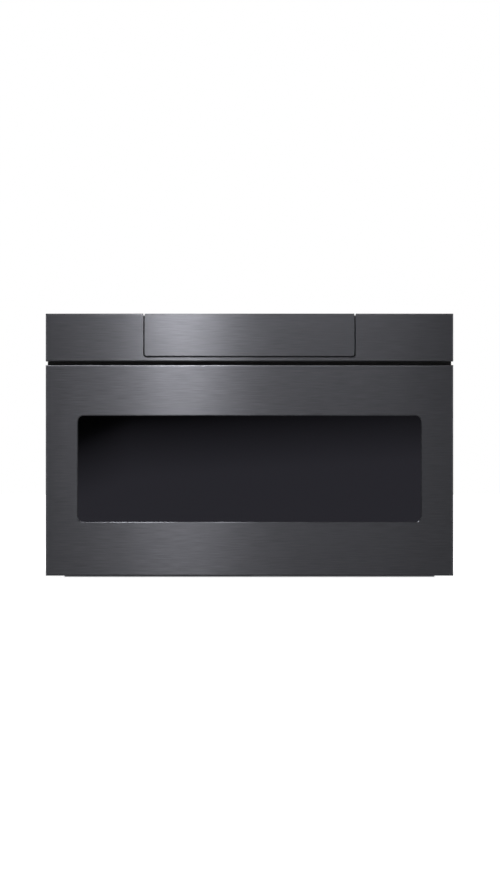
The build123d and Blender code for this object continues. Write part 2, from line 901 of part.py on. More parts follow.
with BuildPart() as side_panel_right:
    with BuildSketch(side(panel_inner)):
        with Locations((back(case_mid_depth), cabinet_height / 2)):
            Rectangle(cabinet_depth, cabinet_height)
        with Locations((back(side_slot_depth), cabinet_height - side_slot_drop)):
            with GridLocations(side_slot_pitch, 1, side_slots, 1):
                Rectangle(side_slot_width, side_slot_length, mode=Mode.SUBTRACT)
    extrude(amount=case_sheet)

side_panel_left = mirrored(side_panel_right)

with BuildPart() as top_cover:
    with BuildSketch(level(cabinet_height - case_sheet)):
        with Locations((0, back(case_mid_depth))):
            Rectangle(inner_width, cabinet_depth)
    extrude(amount=case_sheet)
    with BuildSketch(level(cabinet_height - top_flange)):
        with Locations((0, back(case_mid_depth))):
            Rectangle(inner_width, cabinet_depth)
        with Locations((0, back(case_mid_depth - case_sheet))):
            Rectangle(inner_width - 2 * case_sheet, cabinet_depth, mode=Mode.SUBTRACT)
    extrude(amount=top_flange)
    with BuildSketch(level(cabinet_height)):
        with Locations(*both_sides(top_slot_x, back(top_slot_depth))):
            with GridLocations(1, top_slot_pitch, 1, top_slots):
                Rectangle(top_slot_length, top_slot_width)
    extrude(amount=-case_sheet, mode=Mode.SUBTRACT)

with BuildPart() as rear_cover:
    with BuildSketch(wall(rear_face)):
        with Locations((0, cabinet_height / 2)):
            Rectangle(cabinet_width, cabinet_height)
        with Locations((cord_x, cord_z)):
            Circle(cord_hole_radius, mode=Mode.SUBTRACT)
        with Locations(*both_sides(rear_slot_x, cabinet_height - rear_slot_drop)):
            with GridLocations(1, rear_slot_pitch, 1, rear_slots):
                Rectangle(rear_slot_length, rear_slot_width, mode=Mode.SUBTRACT)
    extrude(amount=case_sheet)

with BuildPart() as cord_grommet:
    with BuildSketch(wall(rear_face + grommet_flange)):
        with Locations((cord_x, cord_z)):
            Circle(cord_hole_radius + grommet_groove)
    extrude(amount=grommet_flange)
    with BuildSketch(wall(rear_face)):
        with Locations((cord_x, cord_z)):
            Circle(cord_hole_radius - run_fit)
    extrude(amount=case_sheet)
    with BuildSketch(wall(case_back)):
        with Locations((cord_x, cord_z)):
            Circle(cord_hole_radius + grommet_groove)
    extrude(amount=grommet_flange)
    with BuildSketch(wall(rear_face + grommet_flange)):
        with Locations((cord_x, cord_z)):
            Circle(cord_bore_radius)
    extrude(amount=2 * grommet_flange + case_sheet, mode=Mode.SUBTRACT)

# ---------------------------------------------------------------- oven
roof_mid_depth = frame_back + cavity_sheet + cavity_depth / 2

with BuildPart() as oven_cavity:
    with BuildSketch(wall(cavity_back + cavity_sheet)):
        with Locations((0, cavity_mid_z)):
            Rectangle(cavity_width + 2 * cavity_sheet, cavity_height + 2 * cavity_sheet)
    extrude(amount=cavity_depth + cavity_sheet)
    with BuildSketch(wall(frame_back + cavity_sheet)):
        with Locations((0, cavity_mid_z)):
            Rectangle(cavity_width + 2 * cavity_flange, cavity_height + 2 * cavity_flange)
    extrude(amount=cavity_sheet)
    with BuildSketch(wall(cavity_back)):
        with Locations((0, cavity_mid_z)):
            Rectangle(cavity_width, cavity_height)
    extrude(amount=cavity_depth, mode=Mode.SUBTRACT)
    with BuildSketch(level(cavity_top)):
        with Locations((0, back(roof_mid_depth))):
            Rectangle(cavity_width + 2 * cavity_sheet, cavity_depth)
    extrude(amount=-cavity_sheet, mode=Mode.SUBTRACT)

with BuildPart() as cavity_roof:
    with BuildSketch(level(cavity_top)):
        with Locations((0, back(roof_mid_depth))):
            Rectangle(cavity_width + 2 * cavity_sheet, cavity_depth)
        with Locations((0, back(stirrer_depth))):
            Rectangle(dome_size, dome_size, mode=Mode.SUBTRACT)
    extrude(amount=-cavity_sheet)

with BuildPart() as stirrer_dome:
    with BuildSketch(level(cavity_top)):
        with Locations((0, back(stirrer_depth))):
            Rectangle(dome_size + 2 * dome_flange, dome_size + 2 * dome_flange)
    extrude(amount=cavity_sheet)
    with BuildSketch(level(cavity_top)):
        with Locations((0, back(stirrer_depth))):
            Rectangle(dome_size + 2 * cavity_sheet, dome_size + 2 * cavity_sheet)
    extrude(amount=dome_height, taper=dome_draft)
    with BuildSketch(level(cavity_top)):
        with Locations((0, back(stirrer_depth))):
            Rectangle(dome_size, dome_size)
    extrude(amount=dome_height - cavity_sheet, taper=dome_draft, mode=Mode.SUBTRACT)
    with BuildSketch(level(dome_top)):
        with Locations((0, back(stirrer_depth))):
            Rectangle(port_size, port_size)
    extrude(amount=-dome_height, mode=Mode.SUBTRACT)

with BuildPart() as stirrer_cover:
    with BuildSketch(level(cavity_top - cavity_sheet)):
        with Locations((0, back(stirrer_depth))):
            Rectangle(stirrer_cover_size, stirrer_cover_size)
    extrude(amount=-stirrer_cover_thickness)

guide_mid_depth = guide_front_depth + guide_length / 2
guide_outer_width = guide_width + 2 * guide_sheet

with BuildPart() as waveguide:
    with BuildSketch(level(dome_top)):
        with Locations((0, back(guide_mid_depth))):
            Rectangle(guide_outer_width, guide_length)
    extrude(amount=guide_top - dome_top)
    with BuildSketch(level(dome_top)):
        with Locations((0, back(guide_mid_depth))):
            Rectangle(guide_outer_width + 2 * guide_flange, guide_length)
    extrude(amount=guide_sheet)
    with BuildSketch(level(dome_top + guide_sheet)):
        with Locations((0, back(guide_mid_depth))):
            Rectangle(guide_width, guide_length - 2 * guide_sheet)
    extrude(amount=guide_height, mode=Mode.SUBTRACT)
    with BuildSketch(level(dome_top)):
        with Locations((0, back(stirrer_depth))):
            Rectangle(port_size, port_size)
        with Locations((0, back(magnetron_depth))):
            Circle(antenna_radius + slip)
    extrude(amount=guide_sheet, mode=Mode.SUBTRACT)
    with BuildSketch(level(guide_top)):
        with Locations((0, back(stirrer_depth))):
            Circle(stirrer_shaft_radius + slip)
    extrude(amount=-guide_sheet, mode=Mode.SUBTRACT)

stirrer_mid_z = (cavity_top + dome_top) / 2 - cavity_sheet
shaft_entry = stirrer_motor_height / 3

with BuildPart() as stirrer_blade:
    with BuildSketch(level(stirrer_mid_z - dome_height / 4)):
        with Locations((0, back(stirrer_depth))):
            Circle(stirrer_hub_radius)
    extrude(amount=dome_height / 2)
    with BuildSketch(level(stirrer_mid_z)):
        with Locations((0, back(stirrer_depth))):
            Circle(stirrer_shaft_radius)
    extrude(amount=guide_top + shaft_entry - stirrer_mid_z)
    with Locations((0, back(stirrer_depth), stirrer_mid_z)):
        with PolarLocations(blade_length / 2 + stirrer_hub_radius / 2, blade_count):
            Box(blade_length, blade_width, blade_sheet, rotation=(blade_pitch, 0, 0))

with BuildPart() as stirrer_motor:
    with BuildSketch(level(guide_top)):
        with Locations((0, back(stirrer_depth))):
            Circle(stirrer_motor_radius)
    extrude(amount=stirrer_motor_height)
    with BuildSketch(level(guide_top)):
        with Locations((0, back(stirrer_depth))):
            Rectangle(3 * stirrer_motor_radius, stirrer_motor_radius / 2)
    extrude(amount=cavity_sheet)
    with BuildSketch(level(guide_top)):
        with Locations((0, back(stirrer_depth))):
            Circle(stirrer_shaft_radius + run_fit)
    extrude(amount=shaft_entry + slip, mode=Mode.SUBTRACT)

yoke_top = dome_top - magnetron_plate
yoke_bottom = yoke_top - magnetron_height
fin_pitch = magnetron_height / (fin_count + 3)

with BuildPart() as magnetron:
    with BuildSketch(level(yoke_top)):
        with Locations((0, back(magnetron_depth))):
            Rectangle(guide_outer_width + 2 * guide_flange, magnetron_length)
    extrude(amount=magnetron_plate)
    with BuildSketch(level(yoke_bottom)):
        with Locations((0, back(magnetron_depth))):
            Rectangle(magnetron_width, magnetron_length)
    extrude(amount=magnetron_height)
    with BuildSketch(level(yoke_bottom + magnetron_plate)):
        with Locations((0, back(magnetron_depth))):
            Rectangle(
                magnetron_width, magnetron_length - 2 * magnetron_plate
            )
    extrude(amount=magnetron_height - 2 * magnetron_plate, mode=Mode.SUBTRACT)
    with BuildSketch(level(yoke_bottom)):
        with Locations((0, back(magnetron_depth))):
            RegularPolygon(anode_radius, hidden_facets)
    extrude(amount=magnetron_height)
    for number in range(fin_count):
        with BuildSketch(level(yoke_bottom + (number + 2) * fin_pitch)):
            with Locations((0, back(magnetron_depth))):
                Rectangle(
                    magnetron_width - 2 * magnetron_plate,
                    magnetron_length - 2 * magnetron_plate,
                )
        extrude(amount=fin_sheet)
    with BuildSketch(level(yoke_bottom - filter_box[2])):
        with Locations((0, back(magnetron_depth))):
            Rectangle(filter_box[0], filter_box[1])
    extrude(amount=filter_box[2])
    with BuildSketch(level(dome_top)):
        with Locations((0, back(magnetron_depth))):
            Circle(antenna_radius)
    extrude(amount=antenna_height)

shroud_mid_depth = cavity_back + cavity_sheet + shroud_size / 2
shroud_mid_z = shroud_bottom + shroud_size / 2
fan_x = shroud_x + shroud_width / 2
fan_at = (back(shroud_mid_depth), shroud_mid_z)
shroud_end = shroud_x + shroud_width

with BuildPart() as fan_shroud:
    with BuildSketch(side(shroud_x)):
        with Locations(fan_at):
            Rectangle(shroud_size, shroud_size)
            Circle(fan_radius + fan_clearance, mode=Mode.SUBTRACT)
    extrude(amount=shroud_width)
    with BuildSketch(side(shroud_end - spider_depth)):
        with Locations(fan_at):
            Rectangle(shroud_size, spider_arm)
            Rectangle(spider_arm, shroud_size)
            Circle(fan_hub_radius)
            Circle(fan_shaft_radius + slip, mode=Mode.SUBTRACT)
    extrude(amount=spider_depth)

blade_span = fan_radius - fan_hub_radius / 2
fan_plane = Plane((fan_x - spider_depth, *fan_at), x_dir=(0, 1, 0), z_dir=(1, 0, 0))

with BuildPart(fan_plane) as fan_blades:
    Cylinder(fan_hub_radius, fan_hub_length)
    with PolarLocations(fan_hub_radius / 2 + blade_span / 2, fan_blade_count):
        Box(blade_span, fan_blade_width, fan_blade_sheet, rotation=(fan_blade_pitch, 0, 0))
    Cylinder(fan_radius, 2 * fan_blade_width, mode=Mode.INTERSECT)
    with BuildSketch(side(fan_x)):
        with Locations(fan_at):
            Circle(fan_shaft_radius)
    extrude(amount=shroud_end + fan_motor_length / 3 - fan_x)

with BuildPart() as fan_motor:
    with BuildSketch(side(shroud_end)):
        with Locations(fan_at):
            Circle(fan_motor_radius)
    extrude(amount=fan_motor_length)
    chamfer(fan_motor.faces().sort_by(Axis.X)[-1].edges(), fan_motor_radius / 8)
    with BuildSketch(side(shroud_end)):
        with Locations(fan_at):
            Circle(fan_shaft_radius + run_fit)
    extrude(amount=fan_motor_length / 3 + slip, mode=Mode.SUBTRACT)

# ---------------------------------------------------------------- power supply
transformer_at = (transformer_inset - panel_inner, back(transformer_depth))
capacitor_at = (panel_inner - capacitor_inset, back(capacitor_depth))
foot_top = case_sheet + foot_sheet
core_mid_z = foot_top + core_size[2] / 2

with BuildPart() as transformer:
    with BuildSketch(level(case_sheet)):
        with Locations(transformer_at):
            Rectangle(*foot_size)
    extrude(amount=foot_sheet)
    with BuildSketch(level(foot_top)):
        with Locations(transformer_at):
            Rectangle(core_size[0], core_size[1])
    extrude(amount=core_size[2])
    with BuildSketch(level(core_mid_z - coil_size[2] / 2)):
        with Locations(transformer_at):
            RectangleRounded(coil_size[0], coil_size[1], coil_size[0] / 4)
    extrude(amount=coil_size[2])

with BuildPart() as capacitor:
    with BuildSketch(level(case_sheet)):
        with Locations(capacitor_at):
            SlotOverall(can_width, can_depth)
    extrude(amount=can_height)
    with BuildSketch(level(case_sheet)):
        with Locations(capacitor_at):
            Rectangle(can_width + 2 * strap_foot, strap_height)
    extrude(amount=strap_sheet)
    with BuildSketch(level(case_sheet)):
        with Locations(capacitor_at):
            SlotOverall(can_width + 2 * strap_sheet, can_depth + 2 * strap_sheet)
    extrude(amount=strap_height)
    with BuildSketch(level(case_sheet + can_height)):
        with Locations(capacitor_at):
            with GridLocations(can_width / 2, 1, 2, 1):
                Rectangle(terminal_size[0], terminal_size[1])
    extrude(amount=terminal_size[2])


def circuit_board(centre, size, mounted):
    """Board on four standoffs on the cavity's roof, with the place and size of what it carries."""
    middle = (centre[0], back(centre[1]))
    board_bottom = cavity_top + standoff_height
    with BuildPart() as board:
        with BuildSketch(level(board_bottom)):
            with Locations(middle):
                Rectangle(*size)
        extrude(amount=board_thickness)
        with BuildSketch(level(cavity_top)):
            with Locations(middle):
                with GridLocations(
                    size[0] - 4 * standoff_radius, size[1] - 4 * standoff_radius, 2, 2
                ):
                    RegularPolygon(standoff_radius, 6)
        extrude(amount=standoff_height)
        for place, block in mounted:
            with BuildSketch(level(board_bottom + board_thickness)):
                with Locations((middle[0] + place[0], middle[1] + place[1])):
                    Rectangle(block[0], block[1])
            extrude(amount=block[2])
    return board


power_parts = [(heat_sink_at, heat_sink_size), (small_transformer_at, small_transformer_size)]
power_parts += [(socket_strip_at, socket_strip_size)]
for number in range(relay_count):
    relay_x = relay_at[0] + (number - (relay_count - 1) / 2) * relay_pitch
    power_parts += [((relay_x, relay_at[1]), relay_size)]
power_board_centre = (cavity_width / 2 - power_board_inset, power_board_depth)
power_board = circuit_board(power_board_centre, power_board_size, power_parts)

filter_parts = [(choke_coil_at, choke_coil_size), (filter_can_at, filter_can_size)]
filter_parts += [(filter_strip_at, filter_strip_size)]
filter_board_centre = (filter_board_inset - cavity_width / 2, filter_board_depth)
noise_filter = circuit_board(filter_board_centre, filter_board_size, filter_parts)

lamp_at = (lamp_inset - cavity_width / 2, back(lamp_depth))

with BuildPart() as oven_lamp:
    with BuildSketch(level(cavity_top)):
        with Locations(lamp_at):
            Rectangle(lamp_size + 2 * dome_flange, lamp_size / 2)
    extrude(amount=cavity_sheet)
    with BuildSketch(level(cavity_top)):
        with Locations(lamp_at):
            Rectangle(lamp_size, lamp_size)
    extrude(amount=lamp_height / 2)
    with BuildSketch(level(cavity_top + lamp_height / 2)):
        with Locations(lamp_at):
            RegularPolygon(lamp_bulb_radius, hidden_facets)
    extrude(amount=lamp_height / 2)

with BuildPart() as thermal_cutouts:
    for bottom, place in (
        (cavity_top, (cavity_width / 2 - lamp_inset, back(cutout_depth))),
        (guide_top, (0, back(magnetron_depth))),
    ):
        with BuildSketch(level(bottom)):
            with Locations(place):
                Rectangle(cutout_plate[0], cutout_plate[1])
        extrude(amount=cutout_plate[2])
        with BuildSketch(level(bottom)):
            with Locations(place):
                RegularPolygon(cutout_radius, hidden_facets)
        extrude(amount=cutout_height)

# ---------------------------------------------------------------- interlock
holder_mid_x = hook_x
holder_mid_z = hook_z
holder_top = holder_mid_z + holder_height / 2
holder_back = frame_back + holder_depth

with BuildPart() as switch_brackets:
    with BuildSketch(wall(holder_back)):
        with Locations(*both_sides(holder_mid_x, holder_mid_z)):
            Rectangle(holder_width, holder_height)
            Rectangle(
                hook_size + 2 * hook_clearance,
                hook_size + 2 * hook_clearance,
                mode=Mode.SUBTRACT,
            )
    extrude(amount=holder_depth)

with BuildPart() as interlock_switches:
    with BuildSketch(level(holder_top)):
        with Locations(*both_sides(holder_mid_x, back(frame_back + holder_depth / 2))):
            Rectangle(switch_size[0], switch_size[1])
    extrude(amount=switch_size[2])

# ---------------------------------------------------------------- top band
with BuildPart() as control_fascia:
    with BuildSketch(wall(frame_front)):
        with Locations((0, (band_bottom + band_top) / 2)):
            Rectangle(face_width, band_height)
    extrude(amount=frame_front)
    fillet(control_fascia.faces().sort_by(Axis.Y)[0].edges(), edge_radius)
    with BuildSketch(wall(frame_front)):
        with Locations((0, (band_bottom + band_top) / 2)):
            Rectangle(face_width - 2 * skin_sheet, band_height - 2 * skin_sheet)
    extrude(amount=frame_front - skin_sheet, mode=Mode.SUBTRACT)
    with BuildSketch(wall(frame_front)):
        with Locations((0, (band_bottom + band_top) / 2)):
            Rectangle(face_width, band_height)
            Rectangle(
                face_width - 2 * rear_flange,
                band_height - 2 * rear_flange,
                mode=Mode.SUBTRACT,
            )
    extrude(amount=skin_sheet)
    with BuildSketch(wall(notch_return)):
        with Locations((0, (notch_bottom - skin_sheet + band_top) / 2)):
            folded = Rectangle(
                notch_width + 2 * skin_sheet, band_top - notch_bottom + skin_sheet
            )
        fillet(folded.vertices().group_by(Axis.Y)[0], notch_corner + skin_sheet)
    extrude(amount=notch_return - edge_radius)
    with BuildSketch(wall(edge_radius)):
        with Locations((0, (notch_bottom - skin_sheet + band_top - edge_radius) / 2)):
            folded = Rectangle(
                notch_width + 2 * skin_sheet,
                band_top - notch_bottom + skin_sheet - edge_radius,
            )
        fillet(folded.vertices().group_by(Axis.Y)[0], notch_corner + skin_sheet)
    extrude(amount=edge_radius)
    with BuildSketch(wall(frame_front)):
        with Locations((0, (notch_bottom + band_top + edge_radius) / 2)):
            notch = Rectangle(notch_width, band_top - notch_bottom + edge_radius)
        fillet(notch.vertices().group_by(Axis.Y)[0], notch_corner)
    extrude(amount=frame_front, mode=Mode.SUBTRACT)
    with BuildSketch(wall(frame_front)):
        with Locations((0, (housing_floor + band_top + edge_radius) / 2)):
            Rectangle(
                housing_width + 2 * slip, band_top - housing_floor + edge_radius + 2 * slip
            )
    extrude(amount=frame_front - notch_return, mode=Mode.SUBTRACT)

housing_sections = [
    (back(housing_front), housing_floor),
    (back(housing_back), housing_floor),
    (back(housing_back), housing_top),
    (back(frame_back), housing_top),
    (back(frame_back), frame_top),
    (back(housing_front), frame_top),
]
ear_x = flap_width / 2 - skin_sheet - ear_gap - ear_thickness
ear_root_depth = housing_front + housing_wall

with BuildPart() as control_housing:
    with BuildSketch(side(-housing_width / 2)):
        with BuildLine():
            Polyline(*housing_sections, close=True)
        make_face()
    extrude(amount=housing_width)
    with BuildSketch(side(-housing_width / 2 + housing_wall)):
        with BuildLine():
            Polyline(
                (back(0), housing_floor + housing_wall),
                (back(housing_back - housing_wall), housing_floor + housing_wall),
                (back(housing_back - housing_wall), housing_top - housing_wall),
                (back(frame_back - housing_wall), housing_top - housing_wall),
                (back(frame_back - housing_wall), band_top + edge_radius),
                (back(0), band_top + edge_radius),
                close=True,
            )
        make_face()
    extrude(amount=housing_width - 2 * housing_wall, mode=Mode.SUBTRACT)
    with BuildSketch(wall(frame_back + housing_wall)):
        with Locations((0, (housing_floor + housing_top) / 2)):
            Rectangle(housing_width + 2 * housing_flange, housing_top - housing_floor)
            Rectangle(
                housing_width - 2 * housing_wall,
                housing_top - housing_floor - 2 * housing_wall,
                mode=Mode.SUBTRACT,
            )
    extrude(amount=housing_wall)
    for ear_start in (-ear_x - ear_thickness, ear_x):
        with BuildSketch(side(ear_start)):
            with BuildLine():
                Polyline(
                    off_hinge(0, ear_height / 2),
                    (back(ear_root_depth), hinge_z + ear_height / 2),
                    (back(ear_root_depth), housing_floor),
                    (back(housing_front), housing_floor),
                    (back(housing_front), hinge_z - ear_height / 2),
                    off_hinge(0, -ear_height / 2),
                    close=True,
                )
            make_face()
            with Locations(off_hinge(0, 0)):
                Circle(ear_height / 2)
                Circle(pin_radius + run_fit, mode=Mode.SUBTRACT)
        extrude(amount=ear_thickness)

# ---------------------------------------------------------------- tilting control panel
flap_top_v = flap_height - hinge_inset
skin_back_u = skin_sheet - hinge_inset

with BuildPart() as flap_skin:
    with BuildSketch(side(-flap_width / 2)):
        with BuildLine():
            Polyline(
                off_hinge(flap_top_return - hinge_inset, flap_top_v - skin_sheet),
                off_hinge(flap_top_return - hinge_inset, flap_top_v),
                off_hinge(-hinge_inset, flap_top_v),
                off_hinge(-hinge_inset, flap_edge_radius - hinge_inset),
            )
            JernArc(
                off_hinge(-hinge_inset, flap_edge_radius - hinge_inset),
                (0, -1),
                flap_edge_radius,
                90,
            )
            Polyline(
                off_hinge(flap_edge_radius - hinge_inset, -hinge_inset),
                off_hinge(flap_lower_return - hinge_inset, -hinge_inset),
                off_hinge(flap_lower_return - hinge_inset, skin_back_u),
                off_hinge(skin_back_u, skin_back_u),
                off_hinge(skin_back_u, flap_top_v - skin_sheet),
                off_hinge(flap_top_return - hinge_inset, flap_top_v - skin_sheet),
            )
        make_face()
    extrude(amount=flap_width)
    for return_start in (-flap_width / 2, flap_width / 2 - skin_sheet):
        with BuildSketch(side(return_start)):
            with BuildLine():
                Polyline(
                    off_hinge(skin_back_u, 0),
                    off_hinge(flap_return - hinge_inset, 0),
                    off_hinge(flap_return - hinge_inset, flap_top_v - flap_return),
                    off_hinge(flap_top_return - hinge_inset, flap_top_v - skin_sheet),
                    off_hinge(skin_back_u, flap_top_v - skin_sheet),
                    close=True,
                )
            make_face()
        extrude(amount=skin_sheet)
    with BuildSketch(wall(flap_return)):
        with Locations((0, (flap_bottom + band_top) / 2)):
            flap_outline = Rectangle(flap_width, flap_height)
        fillet(flap_outline.vertices().group_by(Axis.Y)[0], flap_corner)
        fillet(flap_outline.vertices().group_by(Axis.Y)[-1], flap_top_corner)
    extrude(amount=flap_return, mode=Mode.INTERSECT)

slope_run = wedge_heel[0] - wedge_crest[0]
slope_drop = wedge_crest[1] - wedge_heel[1]
slope_length = hypot(slope_run, slope_drop)
slope_normal = (slope_drop / slope_length, slope_run / slope_length)
slope_mid = off_hinge(
    (wedge_crest[0] + wedge_heel[0]) / 2, (wedge_crest[1] + wedge_heel[1]) / 2
)
slope_plane = Plane((0, *slope_mid), x_dir=(1, 0, 0), z_dir=(0, *slope_normal))
cheek_outer = ear_x - ear_gap / 2
seat_crest = (
    wedge_crest[0] - key_panel_thickness * slope_normal[0],
    wedge_crest[1] - key_panel_thickness * slope_normal[1],
)
seat_heel = (
    wedge_heel[0] - key_panel_thickness * slope_normal[0],
    wedge_heel[1] - key_panel_thickness * slope_normal[1],
)
wedge_inner_top = flap_top_v + wedge_heel[0]

with BuildPart() as flap_housing:
    with BuildSketch(side(-cheek_outer)):
        with BuildLine():
            Polyline(
                off_hinge(skin_back_u, 0),
                off_hinge(skin_back_u, seat_crest[1]),
                off_hinge(*seat_crest),
                off_hinge(*seat_heel),
                off_hinge(seat_heel[0], wedge_heel_low),
                off_hinge(*wedge_toe),
                close=True,
            )
        make_face()
        with Locations(off_hinge(0, 0)):
            Circle(wedge_boss_radius)
    extrude(amount=2 * cheek_outer)
    with BuildSketch(side(-cheek_outer + cheek_thickness)):
        with BuildLine():
            Polyline(
                off_hinge(skin_back_u + wedge_wall, 3 * wedge_wall),
                off_hinge(skin_back_u + wedge_wall, wedge_inner_top),
                off_hinge(seat_heel[0] - wedge_wall, wedge_inner_top),
                off_hinge(seat_heel[0] - wedge_wall, wedge_heel_low + wedge_wall),
                off_hinge(wedge_toe[0] + wedge_wall, wedge_toe[1] + 2 * wedge_wall),
                close=True,
            )
        make_face()
    extrude(amount=2 * (cheek_outer - cheek_thickness), mode=Mode.SUBTRACT)
    with BuildSketch(side(-cheek_outer)):
        with Locations(off_hinge(0, 0)):
            Circle(pin_radius + run_fit)
    extrude(amount=2 * cheek_outer, mode=Mode.SUBTRACT)

with BuildPart() as key_panel:
    with BuildSketch(slope_plane):
        RectangleRounded(
            2 * (cheek_outer - key_panel_inset), slope_length, key_panel_corner
        )
    extrude(amount=-key_panel_thickness)

with BuildPart() as control_board:
    with BuildSketch(slope_plane.offset(-key_panel_thickness - board_drop)):
        Rectangle(*control_board_size)
    extrude(amount=-board_thickness)
    with BuildSketch(slope_plane.offset(-key_panel_thickness - board_drop)):
        with Locations((display_x, 0)):
            Rectangle(*display_size)
        with GridLocations(control_board_size[0] - 4 * standoff_radius, 1, 2, 1):
            RegularPolygon(standoff_radius, 6)
    extrude(amount=board_drop)

with BuildPart() as hinge_pins:
    for pin_start in (-ear_x - ear_thickness, cheek_outer - cheek_thickness):
        with BuildSketch(side(pin_start)):
            with Locations(off_hinge(0, 0)):
                Circle(pin_radius)
        extrude(amount=ear_x + ear_thickness - cheek_outer + cheek_thickness)

catch_front = hinge_inset + seat_heel[0] + slip

with BuildPart() as panel_catch:
    with BuildSketch(wall(housing_back - housing_wall)):
        with Locations((0, catch_z)):
            Rectangle(*catch_size)
    extrude(amount=housing_back - housing_wall - catch_front)

# ---------------------------------------------------------------- files
pieces = {
    "base_plate": base_plate,
    "side_panel_left": side_panel_left,
    "side_panel_right": side_panel_right,
    "top_cover": top_cover,
    "rear_cover": rear_cover,
    "front_frame": front_frame,
    "control_fascia": control_fascia,
    "control_housing": control_housing,
    "panel_catch": panel_catch,
    "oven_cavity": oven_cavity,
    "cavity_roof": cavity_roof,
    "stirrer_dome": stirrer_dome,
    "stirrer_cover": stirrer_cover,
    "stirrer_motor": stirrer_motor,
    "waveguide": waveguide,
    "magnetron": magnetron,
    "fan_shroud": fan_shroud,
    "fan_motor": fan_motor,
    "transformer": transformer,
    "capacitor": capacitor,
    "noise_filter": noise_filter,
    "power_board": power_board,
    "oven_lamp": oven_lamp,
    "thermal_cutouts": thermal_cutouts,
    "switch_brackets": switch_brackets,
    "interlock_switches": interlock_switches,
    "drive_motor": drive_motor,
    "drive_bracket": drive_bracket,
    "rack_guide": rack_guide,
    "rail_outer_left": rail_outer_left,
    "rail_outer_right": rail_outer_right,
    "cord_grommet": cord_grommet,
    "door_skin": door_skin,
    "door_glass": door_glass,
    "door_frame": door_frame,
    "choke_cover": choke_cover,
    "inner_window": inner_window,
    "drawer_tray": drawer_tray,
    "tray_glass": tray_glass,
    "tray_glides": tray_glides,
    "door_bracket_left": door_bracket_left,
    "door_bracket_right": door_bracket_right,
    "drive_rack": drive_rack,
    "latch_hooks": latch_hooks,
    "door_bumpers": door_bumpers,
    "rail_inner_left": rail_inner_left,
    "rail_inner_right": rail_inner_right,
    "rail_middle_left": rail_middle_left,
    "rail_middle_right": rail_middle_right,
    "ball_cages_outer": ball_cages_outer,
    "ball_cages_inner": ball_cages_inner,
    "drive_pinion": drive_pinion,
    "stirrer_blade": stirrer_blade,
    "fan_blades": fan_blades,
    "flap_skin": flap_skin,
    "flap_housing": flap_housing,
    "key_panel": key_panel,
    "control_board": control_board,
    "hinge_pins": hinge_pins,
}

os.makedirs("parts", exist_ok=True)
for name, piece in pieces.items():
    piece.part.label = name
    export_step(piece.part, f"parts/{name}.step")
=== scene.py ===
import json
from math import atan2, cos, pi, radians, sin

import bmesh
import bpy
from mathutils import Matrix, Vector

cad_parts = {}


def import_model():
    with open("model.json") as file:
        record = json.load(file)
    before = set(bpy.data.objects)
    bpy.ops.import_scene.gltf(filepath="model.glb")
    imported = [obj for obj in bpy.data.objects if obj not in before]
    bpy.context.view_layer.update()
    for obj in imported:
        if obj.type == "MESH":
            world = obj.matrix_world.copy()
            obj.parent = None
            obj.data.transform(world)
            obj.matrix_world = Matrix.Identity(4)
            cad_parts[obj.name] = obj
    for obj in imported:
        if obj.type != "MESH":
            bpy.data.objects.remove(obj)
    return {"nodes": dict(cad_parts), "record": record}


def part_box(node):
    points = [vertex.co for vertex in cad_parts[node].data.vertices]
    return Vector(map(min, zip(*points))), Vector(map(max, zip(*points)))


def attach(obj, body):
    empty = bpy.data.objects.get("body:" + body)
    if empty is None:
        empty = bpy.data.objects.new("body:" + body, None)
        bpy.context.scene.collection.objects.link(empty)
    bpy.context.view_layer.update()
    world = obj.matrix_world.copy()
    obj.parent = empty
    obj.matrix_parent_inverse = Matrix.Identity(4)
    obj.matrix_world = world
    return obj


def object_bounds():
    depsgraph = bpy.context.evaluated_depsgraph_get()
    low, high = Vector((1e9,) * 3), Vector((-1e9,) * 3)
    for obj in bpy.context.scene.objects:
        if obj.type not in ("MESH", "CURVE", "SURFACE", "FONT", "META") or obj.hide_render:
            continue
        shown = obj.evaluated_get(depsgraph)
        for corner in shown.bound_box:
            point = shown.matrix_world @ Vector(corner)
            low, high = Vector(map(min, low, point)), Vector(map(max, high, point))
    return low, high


# Built-in microwave drawer: finishes, small fittings, floor, lamps and camera, in metres.
# +Z is up, the front faces -Y and +X is to the right as seen from the front.

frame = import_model()
cad_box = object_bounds()

# ---------------------------------------------------------------- photograph's frame
image_width = 500
image_height = 891
face_left_px = 45.7
face_right_px = 453.3
face_top_px = 313.6
camera_distance = 12.0
sensor_size = 36.0

# ---------------------------------------------------------------- card mirrored in the glass
card_distance = 3.0
card_half_width = 0.40
card_heights = (0.01, 0.30)
card_fade = 0.112           # height over which it gets light, downwards
card_start_right = 0.278    # height where that starts, at its right
card_start_fall = 0.034     # how much lower it starts at its left
card_fall_reach = (-0.30, 0.28)
card_corner_fall = 0.045    # how much lower still it starts at its left edge
card_corner_reach = (-0.34, -0.22)
card_curve = 0.8            # under 1, so it gets light fast at first
card_level = 0.62

# ---------------------------------------------------------------- floor and surroundings
floor_radius = 20.0
floor_sides = 96
floor_drop = 0.0004         # so that it doesn't share a plane with the base
floor_glow = 0.55
level_as_light = 0.75       # strength of the surroundings as a light
level_as_seen = 1.0         # and where they are seen or mirrored

# ---------------------------------------------------------------- screws
screw_radius = 0.0036
screw_height = 0.0019
edge_inset = 0.0065         # from the edge of a cabinet sheet to its row of screws
side_screw_shares = (0.06, 0.35, 0.65, 0.94)
rear_screw_shares = (-0.92, -0.46, 0.0, 0.46, 0.92)
door_screw_inset = 0.011
door_side_heights = (0.060, 0.215, 0.262)
door_screw_columns = (-0.16, 0.0, 0.16)
door_screw_rows = (0.014, 0.305)
foot_sheet = 0.002
foot_screw_inset = 0.007
foot_screw_rise = 0.017     # above and below the bracket's middle
frame_screw_x = 0.262
frame_screw_heights = (0.030, 0.070, 0.190, 0.235)

